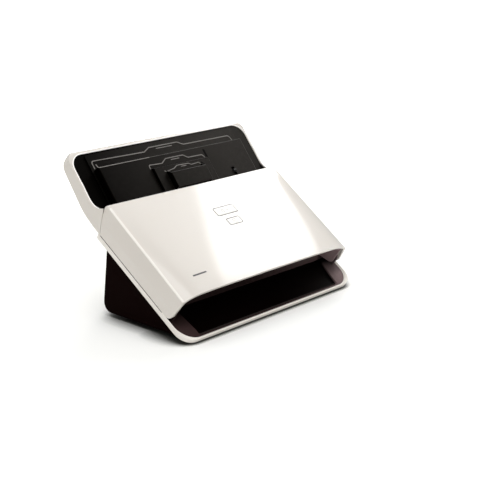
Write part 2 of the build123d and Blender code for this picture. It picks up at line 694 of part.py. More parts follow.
# ------------------------------------------------- paper flag (tray frame)
def paper_flag():
    y, z = FLAG_PIVOT
    x0, x1 = FLAG_X - 1.5, FLAG_X + 1.5
    arm = prof([(y - 2.3, z), (y - 3.0, 6.0), (y - 4.6, 10.6), (y - 3.6, 12.2),
                (y - 1.2, 11.6), (y + 0.6, 6.0), (y + 2.3, z)], x0, x1)
    flag = rod(x0, x1, y, z, 2.4) + arm + rod(x0, x1, y - 3.3, 11.0, 1.9)
    return one(TRAY.location * (flag + rod(FLAG_X - 5.0, FLAG_X + 5.0, y, z, 1.2)))


def flag_bearings():
    """ears under the liner that carry the flag's pivot"""
    y, z = FLAG_PIVOT
    ears = []
    for x in (FLAG_X - 3.6, FLAG_X + 3.6):
        ear = Pos(x, y, z + 0.3) * Box(2.4, 7.0, 6.8)
        ears.append(one(ear - rod(x - 10, x + 10, y, z, 1.2 + RUN)))
    return TRAY.location * group(ears)


# ---------------------------------------------------------- separation pad
def pad_holder():
    return one(block(-15.2, 15.2, 97.0, 115.0, 10.2, 12.4)
               + block(-15.2, 15.2, 113.0, 115.0, 12.4, 16.0))


def separation_pad():
    return one(prof([(98.5, 8.9), (112.5, 8.9), (113.5, 9.4), (113.5, 10.2), (98.0, 10.2)],
                    -14.0, 14.0))


def pad_spring():
    # guards the helical sweep: a plain tube stands in if the kernel cannot make it
    try:
        coil = Helix(pitch=2.0, height=7.6, radius=3.2)
        wire = Plane(origin=coil @ 0, z_dir=coil % 0) * Circle(0.45)
        return one(Pos(0, 105.0, 12.9) * sweep(wire, path=coil, is_frenet=True))
    except Exception:
        return post(0, 105.0, 12.5, 20.0, 3.2) - post(0, 105.0, 12.0, 21.0, 2.4)


# ----------------------------------------------- tray insert (tray frame)
INSERT_END_Y = -70.9        # lower end of the insert
DOC_FRONT_Z, RECEIPT_FRONT_Z, CARD_FRONT_Z = 10.2, 13.6, 20.0   # outer faces of the pockets


def flag_slot():
    return block(FLAG_X - 2.4, FLAG_X + 2.4, INSERT_END_Y - 2, FLAG_Y + 6.4, -1, 30)


def trimmed(pocket):
    """pocket in the slab frame, its lower end stopping short of the cover's rounded edge"""
    return one((TRAY.location * pocket) - block(-125.0, 125.0, 100.0, 138.35, -5.0, 70.0))


def round_sides(shape, front_z, min_length, radius):
    """rounds the long outer edges of a pocket's front"""
    edges = [e for e in shape.edges()
             if e.bounding_box().size.Y > min_length and e.center().Z > front_z - 0.2]
    return ease(shape, edges, radius, radius / 2)


def insert_back_plate():
    half, top_y = 114.0, -2.4
    outline = [(-half, top_y), (half, top_y), (half, INSERT_END_Y), (-half, INSERT_END_Y)]
    back = plate(polygon(outline), 0.25, 1.5)
    corners = [e for e in back.edges() if e.bounding_box().size.Z > 1.0 and e.center().Y > -10]
    return one(TRAY.location * (ease(back, corners, 3.0, 1.0) - flag_slot()))


def document_pocket():
    half, top_y, back_z, wall = 111.6, -22.5, 1.6, 1.6
    outer = block(-half, half, INSERT_END_Y, top_y, back_z, DOC_FRONT_Z)
    outer = round_sides(outer, DOC_FRONT_Z, 20, 2.0)
    inner = block(-half + wall, half - wall, INSERT_END_Y - 1, top_y + 1,
                  back_z - 1, DOC_FRONT_Z - wall)
    pocket = one(outer - inner) - flag_slot()
    # slit beside the receipt pocket
    slit = block(43.6, 46.4, -38.4, -26.4, DOC_FRONT_Z - 1.2, DOC_FRONT_Z + 2)
    return trimmed(pocket - slit)


def funnel(half, back_y, top_y, back_z, front_z, radius):
    """pocket whose side walls slope out from the panel behind to its front wall"""
    wall = 1.3
    outer = prof([(back_y, back_z), (top_y, front_z), (INSERT_END_Y, front_z),
                  (INSERT_END_Y, back_z)], -half, half)
    outer = round_sides(outer, front_z, 12, radius)
    inner = block(-half + wall, half - wall, INSERT_END_Y - 2, back_y + 20,
                  back_z - 1, front_z - wall)
    return trimmed(one(outer - inner))


# ------------------------------------------------ dark stand (world frame)
STAND_HALF = 128.5
STAND_Z = 4.2               # underside of the stand
SLAB_DROP = HOUSING_T + 0.1     # top of the stand below the joint plane
# front edge, where the sloping top reaches the underside
STAND_Y0 = (SLAB_Y + (STAND_Z - SLAB_Z + SLAB_DROP * math.cos(SLAB_ANGLE))
            / math.sin(SLAB_ANGLE) * math.cos(SLAB_ANGLE) + SLAB_DROP * math.sin(SLAB_ANGLE))
STAND_TOP_RUN = 119.2       # rear end of the sloping top, measured along the slope
PLATE_Y0, PLATE_Y1 = STAND_Y0 + 14.0, 24.0     # bottom opening
SOCKET_Z = 24.0
USB_X, POWER_X = -58.0, -84.0
STAND_SCREWS = [(x, y) for y in (-42.0, 0.0) for x in (-117.0, 117.0)]
FEET = [(x, y) for y in (-54.0, 14.5) for x in (-106.0, 106.0)]
BOARD_X, BOARD_Y = -62.0, -2.0
STANDOFFS = [(BOARD_X + dx, BOARD_Y + dy) for dx in (-41, 41) for dy in (-18, 18)]


def wide_low_edges(shape, min_y, max_z):
    return [e for e in shape.edges() if e.bounding_box().size.X > 200
            and e.center().Y > min_y and e.center().Z < max_z]


def base_stand():
    top_rear = (
        SLAB_Y + STAND_TOP_RUN * math.cos(SLAB_ANGLE) + SLAB_DROP * math.sin(SLAB_ANGLE),
        SLAB_Z + STAND_TOP_RUN * math.sin(SLAB_ANGLE) - SLAB_DROP * math.cos(SLAB_ANGLE))
    stand = prof([(STAND_Y0, STAND_Z), top_rear, (30.0, 75.0), (37.0, 18.0), (37.6, STAND_Z)],
                 -STAND_HALF, STAND_HALF)
    stand = ease(stand, wide_low_edges(stand, 36, 6), 11.0, 8.0)
    rear_corners = [e for e in stand.edges() if e.bounding_box().size.X < 1
                    and e.center().Y > 25 and e.bounding_box().size.Z > 4]
    stand = ease(stand, rear_corners, 2.6, 1.5)
    front_y, floor_z = STAND_Y0 + 9.0, STAND_Z + 2.4
    hollow = prof([(front_y, floor_z), (front_y, 110.0), (26.2, 110.0), (27.6, 75.0),
                   (34.3, 18.0), (34.6, floor_z)], -(STAND_HALF - 2.5), STAND_HALF - 2.5)
    hollow = ease(hollow, wide_low_edges(hollow, 33, 8), 9.0, 6.0)
    stand = stand - hollow
    # opening in the bottom for the base plate
    stand = stand - block(-122.0, 122.0, PLATE_Y0, PLATE_Y1, 2.0, 8.0)
    # sockets in the back wall
    stand = stand - Pos(USB_X, 36, SOCKET_Z) * Box(12.6, 14, 11.4)
    stand = stand - Pos(POWER_X, 36, SOCKET_Z) * Rot(90, 0, 0) * Cylinder(4.6, 14)
    # screw posts in the corners, joined to the side walls
    for x, y in STAND_SCREWS:
        rib_x = math.copysign(122.0, x)
        rib = Pos(rib_x, y, 14.0) * Box(10.0, 3.0, 14.4)
        stand = stand + Pos(x, y, 14.0) * Cylinder(4.0, 14.4) + rib
        stand = stand - Pos(x, y, 10.0) * Cylinder(1.25, 12)
    return one(stand)


def base_plate():
    base = (Pos(0, (PLATE_Y0 + PLATE_Y1) / 2, STAND_Z + 1.1)
            * Box(2 * 121.7, PLATE_Y1 - PLATE_Y0 - 0.6, 2.2))
    base = ease(base, [e for e in base.edges() if e.bounding_box().size.Z > 1.5], 1.5)
    for x, y in STAND_SCREWS:
        base = base - Pos(x, y, 5.6) * Cylinder(1.6, 6)
        base = base - Pos(x, y, STAND_Z + 0.3) * Cylinder(3.0, 1.6)
    # cooling slots
    for i in range(9):
        base = base - Pos(-32 + i * 8, -6, 5.6) * Box(3.0, 34, 6)
    for x, y in STANDOFFS:
        standoff = Pos(x, y, 10.1) * Cylinder(3.0, 8.0)
        base = base + standoff - Pos(x, y, 11.0) * Cylinder(1.0, 7)
    return one(base)


def rubber_foot(x, y):
    foot = Pos(x, y, STAND_Z / 2) * Cylinder(8.0, STAND_Z)
    return one(ease(foot, foot.faces().sort_by(Axis.Z)[0].edges(), 1.0, 0.5))


def base_screw(x, y):
    """upright screw with a cross-slotted head below"""
    head_z, length = STAND_Z - 0.7, 8.0
    screw = Pos(x, y, head_z + 0.9) * Cylinder(2.8, 1.8)
    screw = ease(screw, screw.faces().sort_by(Axis.Z)[0].edges(), 0.6)
    screw = screw + Pos(x, y, head_z + 1.8 + length / 2 - 0.2) * Cylinder(1.15, length)
    return one(screw - Pos(x, y, head_z) * Box(3.2, 0.7, 1.2)
               - Pos(x, y, head_z) * Box(0.7, 3.2, 1.2))


def main_board():
    board = Pos(BOARD_X, BOARD_Y, 14.9) * Box(92.0, 46.0, 1.6)
    for x, y in STANDOFFS:
        board = board - Pos(x, y, 15.0) * Cylinder(1.5, 6)
    return one(board)


def board_parts():
    board_top = 15.7
    # x, y, height, body
    parts = [
        (-70, -4, 1.6, Box(16, 16, 1.6)),
        (-40, -10, 1.2, Box(12, 9, 1.2)),
        (-96, -8, 9.0, Cylinder(4.0, 9.0)),
        (-96, 4, 9.0, Cylinder(4.0, 9.0)),
        (-30, 6, 5.0, Box(18, 5, 5)),
        (-52, -18, 3.0, Box(22, 4, 3)),
    ]
    placed = [Pos(x, y, board_top + height / 2) * body for x, y, height, body in parts]
    return group([one(ease(part, part.edges(), 0.3)) for part in placed])


def usb_socket():
    socket = Pos(USB_X, 27.2, SOCKET_Z) * Box(12.0, 16.0, 10.8)
    socket = socket - Pos(USB_X, 32.0, SOCKET_Z) * Box(8.6, 10.0, 8.0)
    socket = socket + Pos(USB_X, 29.0, SOCKET_Z + 0.6) * Box(5.6, 9.0, 3.2)
    return one(socket + Pos(USB_X, 21.0, 17.4) * Box(10.0, 3.4, 3.2))


def power_socket():
    def barrel(y, radius, length):
        return Pos(POWER_X, y, SOCKET_Z) * Rot(90, 0, 0) * Cylinder(radius, length)

    socket = Pos(POWER_X, 26.4, SOCKET_Z) * Box(9.6, 12.0, 11.0) + barrel(32.4, 4.4, 7.0)
    socket = socket - barrel(32.0, 3.0, 12.0)
    socket = socket + barrel(31.0, 0.9, 9.0)
    return one(socket + Pos(POWER_X, 24.0, 17.2) * Box(8.0, 3.4, 3.0))


# --------------------------------------------------------- build and write
save("lower_housing", lower_housing(), WORLD)
save("output_tray", output_tray(), WORLD)
save("input_hood", input_hood())
save("hood_liner", hood_liner())
save("front_cover", front_cover())
save("cover_inner_panel", cover_inner_panel())
save("cover_hinge_pins", cover_hinge_pins())
save("cover_screws", group([panel_screw(x, y) for x, y in PANEL_POSTS]))
for button_name, spec in BUTTONS.items():
    save(button_name, button(*spec))
save("button_board", button_board())

for level, module_spec in (("lower", LOWER_SCAN), ("upper", UPPER_SCAN)):
    save(level + "_scan_module", scan_module(*module_spec))
    save(level + "_scan_glass", scan_glass(*module_spec))

save("paper_bed", paper_bed())
save("feed_gear", gear(FEED, FEED_PHASE, SHAFT_R))
save("exit_gear", gear(EXIT, EXIT_PHASE, SHAFT_R))
save("idler_gear_front", gear(IDLER_FRONT, FRONT_PHASE, IDLER_R + RUN))
save("idler_gear_middle", gear(IDLER_MIDDLE, MIDDLE_PHASE, IDLER_R + RUN))
save("idler_gear_rear", gear(IDLER_REAR, REAR_PHASE, IDLER_R + RUN))
save("motor_pinion", motor_pinion())
save("idler_posts", group([idler_post(centre) for centre in IDLERS]))
save("feed_roller_shaft", roller_shaft(FEED))
save("exit_roller_shaft", roller_shaft(EXIT))
save("feed_roller_tyres", group([tyre(x, FEED, 11.5, FEED_R, SHAFT_R, 0.6, 0.3) for x in FEED_X]))
save("exit_roller_tyres", group([tyre(x, EXIT, 7.5, EXIT_R, SHAFT_R, 0.6, 0.3) for x in EXIT_X]))
save("roller_bushes", group([bush(centre, side) for centre in (FEED, EXIT) for side in (-1, 1)]))
save("feed_motor", feed_motor())
save("motor_bracket", motor_bracket())

save("pinch_shaft", rod(-84.0, 84.0, *PINCH, PINCH_SHAFT_R))
save("pinch_roller_tyres",
     group([tyre(x, PINCH, 7.0, PINCH_R, PINCH_SHAFT_R, 0.5) for x in EXIT_X]))
save("pinch_holders", group([pinch_holder(x) for x in (-86.0, -48.0, 0.0, 48.0, 86.0)]))
save("paper_flag", paper_flag())
save("flag_bearings", flag_bearings())
save("pad_holder", pad_holder())
save("separation_pad", separation_pad())
save("pad_spring", pad_spring())

save("insert_back_plate", insert_back_plate())
save("document_pocket", document_pocket())
save("receipt_pocket", funnel(43.0, -36.8, -38.8, DOC_FRONT_Z + 0.1, RECEIPT_FRONT_Z, 1.0))
save("card_pocket", funnel(27.6, -44.6, -50.0, RECEIPT_FRONT_Z + 0.1, CARD_FRONT_Z, 1.2))

save("base_stand", base_stand(), WORLD)
save("base_plate", base_plate(), WORLD)
save("rubber_feet", group([rubber_foot(x, y) for x, y in FEET]), WORLD)
save("base_screws", group([base_screw(x, y) for x, y in STAND_SCREWS]), WORLD)
save("main_board", main_board(), WORLD)
save("board_parts", board_parts(), WORLD)
save("usb_socket", usb_socket(), WORLD)
save("power_socket", power_socket(), WORLD)
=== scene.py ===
import json
import math

import bpy
import bmesh
from mathutils import Matrix, Vector
from mathutils.bvhtree import BVHTree


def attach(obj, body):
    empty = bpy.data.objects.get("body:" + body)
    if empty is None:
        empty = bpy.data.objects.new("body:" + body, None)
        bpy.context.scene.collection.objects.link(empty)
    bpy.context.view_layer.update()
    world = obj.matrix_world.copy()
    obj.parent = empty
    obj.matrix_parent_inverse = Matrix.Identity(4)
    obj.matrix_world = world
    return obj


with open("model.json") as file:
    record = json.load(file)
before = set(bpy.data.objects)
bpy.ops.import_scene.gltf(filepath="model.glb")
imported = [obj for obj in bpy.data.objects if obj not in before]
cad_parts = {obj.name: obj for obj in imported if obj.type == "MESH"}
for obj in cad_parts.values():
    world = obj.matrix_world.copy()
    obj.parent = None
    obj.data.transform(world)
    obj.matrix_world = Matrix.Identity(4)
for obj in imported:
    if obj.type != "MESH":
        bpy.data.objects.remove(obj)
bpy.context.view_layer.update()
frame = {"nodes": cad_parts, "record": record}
PIECES = frame["nodes"]
MM = 0.001

# ---------------------------------------------------------------- local frames
SLOPE_TILT = math.radians(34.5)
SLOPE_Y, SLOPE_Z = -73.7 + 4.9035, 22.1      # origin of the slope's frame
TRAY_TILT = math.radians(16.9)               # tray against the slope
TRAY_TOP_UP, TRAY_TOP_OUT = 209.2, 32.6      # the tray's top edge, in the slope's frame
FACE_TILT = math.atan2(-4.1, 134.5)          # cover's front face against the slope
FACE_OUT = 35.6                              # height of the face's lower end off the slope


def slope(x, up, out):
    """Point of the sloping body: x across, up the slope, out of it."""
    return Vector((x,
                   SLOPE_Y + up * math.cos(SLOPE_TILT) - out * math.sin(SLOPE_TILT),
                   SLOPE_Z + up * math.sin(SLOPE_TILT) + out * math.cos(SLOPE_TILT))) * MM


def tray(x, down, out):
    """Point of the input tray: x across, down from its top edge, out of it."""
    return slope(x, TRAY_TOP_UP - down * math.cos(TRAY_TILT) - out * math.sin(TRAY_TILT),
                 TRAY_TOP_OUT - down * math.sin(TRAY_TILT) + out * math.cos(TRAY_TILT))


def face(x, up, out):
    """Point of the cover's front face: x across, up the face, out of it."""
    return slope(x, up * math.cos(FACE_TILT) - out * math.sin(FACE_TILT),
                 FACE_OUT + up * math.sin(FACE_TILT) + out * math.cos(FACE_TILT))


def outward(place):
    return (place(0, 0, 1) - place(0, 0, 0)).normalized()


TRAY_OUT = outward(tray)
FACE_NORMAL = outward(face)
SLOPE_OUT = outward(slope)
SLOPE_UP = (slope(0, 1, 0) - slope(0, 0, 0)).normalized()


# ------------------------------------------------------------- shader helpers
def grey(value):
    return (value, value, value, 1.0)


def set_or_link(tree, socket, value):
    if isinstance(value, (int, float, tuple, list)):
        socket.default_value = value
    else:
        tree.links.new(value, socket)


def ramp(tree, factor, stops):
    node = tree.nodes.new("ShaderNodeValToRGB")
    elements = node.color_ramp.elements
    while len(elements) > 1:
        elements.remove(elements[-1])
    elements[0].position, elements[0].color = stops[0]
    for position, colour in stops[1:]:
        elements.new(position).color = colour
    tree.links.new(factor, node.inputs["Fac"])
    return node.outputs["Color"]


def mask(tree, value, low, high):
    """Black below low, white above high."""
    return ramp(tree, value, [(low, grey(0.0)), (high, grey(1.0))])


def noise(tree, position, scale, detail, rough=0.5, distortion=0.0):
    node = tree.nodes.new("ShaderNodeTexNoise")
    node.inputs["Scale"].default_value = scale
    node.inputs["Detail"].default_value = detail
    node.inputs["Roughness"].default_value = rough
    node.inputs["Distortion"].default_value = distortion
    tree.links.new(position, node.inputs["Vector"])
    return node.outputs["Fac"]


def calc(tree, operation, *values, clamp=False):
    node = tree.nodes.new("ShaderNodeMath")
    node.operation = operation
    node.use_clamp = clamp
    for socket, value in zip(node.inputs, values):
        set_or_link(tree, socket, value)
    return node.outputs[0]


def mix(tree, factor, at_zero, at_one):
    node = tree.nodes.new("ShaderNodeMix")
    node.data_type = "RGBA"
    # sockets 0, 6 and 7 are the factor and the two colours
    for index, value in ((0, factor), (6, at_zero), (7, at_one)):
        set_or_link(tree, node.inputs[index], value)
    return node.outputs[2]


def dot(tree, vector, axis):
    node = tree.nodes.new("ShaderNodeVectorMath")
    node.operation = "DOT_PRODUCT"
    tree.links.new(vector, node.inputs[0])
    node.inputs[1].default_value = tuple(axis)
    return node.outputs["Value"]


def metres_along(tree, position, axis):
    """Distance from the slope's origin along an axis, in metres."""
    return calc(tree, "SUBTRACT", dot(tree, position, axis), slope(0, 0, 0).dot(axis))


def millimetres(tree, metres):
    return calc(tree, "MULTIPLY", metres, 1000.0)


def between(tree, value, low, high):
    """0 at low, 1 at high, clamped."""
    return calc(tree, "DIVIDE", calc(tree, "SUBTRACT", value, low), high - low, clamp=True)


def separate(tree, vector):
    node = tree.nodes.new("ShaderNodeSeparateXYZ")
    tree.links.new(vector, node.inputs[0])
    return node.outputs


def geometry(tree, output):
    return tree.nodes.new("ShaderNodeNewGeometry").outputs[output]


def object_position(tree):
    return tree.nodes.new("ShaderNodeTexCoord").outputs["Object"]


def blank_material(name):
    mat = bpy.data.materials.new(name)
    mat.use_nodes = True
    tree = mat.node_tree
    tree.nodes.clear()
    return mat, tree, tree.nodes.new("ShaderNodeOutputMaterial")


# ------------------------------------------------------------- material layers
def rub_edges(tree, position, colour, rough, worn, amount):
    """Chipped, rougher colour along sharp edges."""
    edge = mask(tree, geometry(tree, "Pointiness"), low=0.52, high=0.60)
    chips = mask(tree, noise(tree, position, scale=240.0, detail=4.0, rough=0.7),
                 low=0.46, high=0.60)
    rub = calc(tree, "MULTIPLY", calc(tree, "MULTIPLY", edge, chips), amount)
    colour = mix(tree, rub, colour, tuple(worn) + (1.0,))
    extra_rough = calc(tree, "MULTIPLY", rub, 0.15)
    return colour, calc(tree, "ADD", rough, extra_rough, clamp=True)


def settle_dust(tree, position, colour, rough, amount):
    """Pale specks on faces that look up."""
    normal_z = separate(tree, geometry(tree, "Normal"))["Z"]
    facing_up = mask(tree, normal_z, low=0.45, high=0.95)
    specks = mask(tree, noise(tree, position, scale=900.0, detail=3.0, rough=0.7),
                  low=0.56, high=0.72)
    film = calc(tree, "MULTIPLY", calc(tree, "MULTIPLY", facing_up, specks), amount)
    colour = mix(tree, film, colour, (0.55, 0.53, 0.50, 1.0))
    extra_rough = calc(tree, "MULTIPLY", film, 0.3)
    return colour, calc(tree, "ADD", rough, extra_rough, clamp=True)


def paint_side_shade(tree, position, colour, base, left, right, least, power, flanks, dark):
    """Painted shade: darkens towards the left, and left-facing flanks if asked. Returns colour and
    light kept.
    """
    x_mm = millimetres(tree, separate(tree, position)["X"])
    across = between(tree, x_mm, left, right)
    keep = calc(tree, "MULTIPLY_ADD", calc(tree, "POWER", across, power), 1.0 - least, least)
    if flanks:
        normal_x = separate(tree, geometry(tree, "True Normal"))["X"]
        facing_left = calc(tree, "MULTIPLY", normal_x, -1.0)
        flank = ramp(tree, facing_left, [(0.22, grey(1.0)), (0.60, grey(0.02))])
        keep = calc(tree, "MULTIPLY", keep, flank)
    # the painted shade leans red
    shaded = (base[0] * dark, base[1] * dark * 0.80, base[2] * dark * 0.78, 1.0)
    return mix(tree, keep, shaded, colour), keep


def paint_well_shade(tree, position, colour, deep, low, high):
    """Painted shade in the well: blends to the deep colour from high down to low, measured out of
    the slope.
    """
    height = millimetres(tree, metres_along(tree, position, SLOPE_OUT))
    return mix(tree, between(tree, height, low, high), tuple(deep) + (1.0,), colour)


def paint_shade_up_slope(tree, position, colour, spec, deep, start, end):
    """Painted shade: blends to the deep colour up the slope and lowers the specular level with it.
    Returns colour and specular level.
    """
    distance = millimetres(tree, metres_along(tree, position, SLOPE_UP))
    faded = between(tree, distance, start, end)
    colour = mix(tree, faded, colour, tuple(deep) + (1.0,))
    return colour, calc(tree, "MULTIPLY_ADD", faded, -0.8 * spec, spec)


def paint_bounce_glow(tree, shader, position, colour, spec, coat, glow_back, glow_front, back, front):
    """Painted bounce light: the housing glows, most along the low front rim, in place of light
    bounced up from the table. Returns colour.
    """
    distance = millimetres(tree, metres_along(tree, position, SLOPE_UP))
    nearness = calc(tree, "DIVIDE", calc(tree, "SUBTRACT", back, distance), back - front,
                    clamp=True)
    glow = calc(tree, "MULTIPLY_ADD", nearness, glow_front - glow_back, glow_back)
    shader.inputs["Emission Color"].default_value = (1.0, 0.955, 0.895, 1.0)
    # painted shade: the sunk ledge behind the rim is painted dark and kept from glowing or
    # reflecting; it faces out and lies 1.6 mm below the rim's top
    faces_out = calc(tree, "GREATER_THAN",
                     dot(tree, geometry(tree, "True Normal"), SLOPE_OUT), 0.6)
    sunk = calc(tree, "LESS_THAN", metres_along(tree, position, SLOPE_OUT), -0.0016)
    ledge = calc(tree, "MULTIPLY", faces_out, sunk)
    lit = calc(tree, "SUBTRACT", 1.0, ledge)
    for name, value in (("Emission Strength", calc(tree, "MULTIPLY", glow, lit)),
                        ("Specular IOR Level", calc(tree, "MULTIPLY", lit, spec)),
                        ("Coat Weight", calc(tree, "MULTIPLY", lit, coat))):
        tree.links.new(value, shader.inputs[name])
    return mix(tree, ledge, colour, (0.040, 0.034, 0.032, 1.0))


def add_bump(tree, shader, position, brushed_position, grain, grain_scale, ripple, ripple_scale):
    """Fine moulded grain and a slow ripple."""
    heights = []
    if grain:
        fine = noise(tree, brushed_position, scale=grain_scale, detail=2.0, rough=0.6)
        heights.append(calc(tree, "MULTIPLY", fine, grain))
    if ripple:
        slow = noise(tree, position, scale=ripple_scale, detail=1.0, rough=0.4)
        heights.append(calc(tree, "MULTIPLY", slow, ripple))
    height = heights[0] if len(heights) == 1 else calc(tree, "ADD", *heights)
    bump = tree.nodes.new("ShaderNodeBump")
    bump.inputs["Strength"].default_value = 1.0
    bump.inputs["Distance"].default_value = 0.001
    tree.links.new(height, bump.inputs["Height"])
    tree.links.new(bump.outputs["Normal"], shader.inputs["Normal"])


def material(name, base, tint=None, rough=0.35, rough_var=0.06, metallic=0.0, spec=0.5,
             spec_tint=None, ior=1.5, coat=0.0, coat_rough=0.05, sheen=0.0, subsurface=0.0,
             cloud=0.35, cloud_scale=30.0, grain=0.0, grain_scale=2600.0, brushed=None,
             ripple=0.0, ripple_scale=26.0, wear=None, wear_amount=0.35, dust=0.0,
             painted_side_shade=None, painted_well_shade=None, painted_slope_shade=None, painted_bounce_glow=None, emission=None):
    """Cloudy base colour with uneven gloss, and the layers above where asked for: wear, dust,
    painted shade and painted bounce glow.

    brushed stretches the grain; painted_slope_shade needs painted_side_shade; a finish needs grain
    or ripple.
    """
    mat, tree, output = blank_material(name)
    shader = tree.nodes.new("ShaderNodeBsdfPrincipled")
    tree.links.new(shader.outputs["BSDF"], output.inputs["Surface"])
    position = object_position(tree)
    brushed_position = position
    if brushed:
        mapping = tree.nodes.new("ShaderNodeMapping")
        mapping.inputs["Scale"].default_value = brushed
        tree.links.new(position, mapping.inputs["Vector"])
        brushed_position = mapping.outputs["Vector"]

    patches = noise(tree, position, scale=cloud_scale, detail=4.0, rough=0.55, distortion=0.3)
    cloudy = calc(tree, "MULTIPLY", mask(tree, patches, low=0.35, high=0.68), cloud)
    tint = tint or [channel * 0.86 for channel in base]
    colour = mix(tree, cloudy, tuple(base) + (1.0,), tuple(tint) + (1.0,))
    smudge = noise(tree, position, scale=85.0, detail=5.0, rough=0.62, distortion=0.8)
    gloss = calc(tree, "MULTIPLY_ADD", smudge, rough_var * 2.0, rough - rough_var)
    if wear:
        colour, gloss = rub_edges(tree, position, colour, gloss, wear, wear_amount)
    if dust:
        colour, gloss = settle_dust(tree, position, colour, gloss, dust)
    # painted shade, darker to the left
    if painted_side_shade:
        colour, keep = paint_side_shade(tree, position, colour, base, **painted_side_shade)
    # painted shade in the well of the output tray
    if painted_well_shade:
        colour = paint_well_shade(tree, position, colour, **painted_well_shade)

    specular = shader.inputs["Specular IOR Level"]
    # painted shade also dims the specular level
    if painted_slope_shade:
        colour, level = paint_shade_up_slope(tree, position, colour, spec, **painted_slope_shade)
        tree.links.new(calc(tree, "MULTIPLY", level, keep), specular)
    elif painted_side_shade:
        tree.links.new(calc(tree, "MULTIPLY", keep, spec), specular)
    else:
        specular.default_value = spec
    for socket, value in (("Metallic", metallic), ("IOR", ior), ("Coat Weight", coat),
                          ("Coat Roughness", coat_rough), ("Sheen Weight", sheen)):
        shader.inputs[socket].default_value = value
    if subsurface:
        shader.inputs["Subsurface Weight"].default_value = subsurface
        shader.inputs["Subsurface Radius"].default_value = (1.0, 0.9, 0.8)
        shader.inputs["Subsurface Scale"].default_value = 0.0015
    # painted glow for highlights that stand in for reflected light
    if emission:
        shader.inputs["Emission Color"].default_value = emission["colour"] + (1.0,)
        shader.inputs["Emission Strength"].default_value = emission["strength"]
    # painted bounce glow, and painted shade on the sunk ledge
    if painted_bounce_glow:
        colour = paint_bounce_glow(tree, shader, position, colour, spec, coat, **painted_bounce_glow)
    if spec_tint:
        shader.inputs["Specular Tint"].default_value = spec_tint + (1.0,)
    tree.links.new(colour, shader.inputs["Base Color"])
    tree.links.new(gloss, shader.inputs["Roughness"])
    add_bump(tree, shader, position, brushed_position, grain, grain_scale, ripple, ripple_scale)
    return mat


# ------------------------------------------------------------- finishes
SHELL_WHITE = dict(
    base=(0.785, 0.742, 0.690), tint=(0.755, 0.712, 0.660), rough=0.34, rough_var=0.03,
    spec=0.45, coat=0.9, coat_rough=0.055, grain=0.004, grain_scale=1500, ripple=0.04,
    ripple_scale=14, cloud=0.25, cloud_scale=12, wear=(0.83, 0.80, 0.76), wear_amount=0.2,
    subsurface=0.04)
MAUVE = dict(
    base=(0.270, 0.196, 0.200), tint=(0.235, 0.168, 0.172), rough=0.50, rough_var=0.05,
    spec=0.13, coat_rough=0.3, grain=0.014, grain_scale=1900, cloud=0.6, cloud_scale=26,
    wear=(0.20, 0.16, 0.158), wear_amount=0.3)
# settings of the painted shade across the mauve parts, darker to the left
MAUVE_SIDES = dict(left=10.0, right=130.0, least=0.02, power=1.9, flanks=False)
# near-black of the painted shade up the slope, under the cover
PAINTED_SHADE_DARK = (0.0012, 0.0005, 0.0004)
WARM_SHEEN = (1.0, 0.88, 0.77)

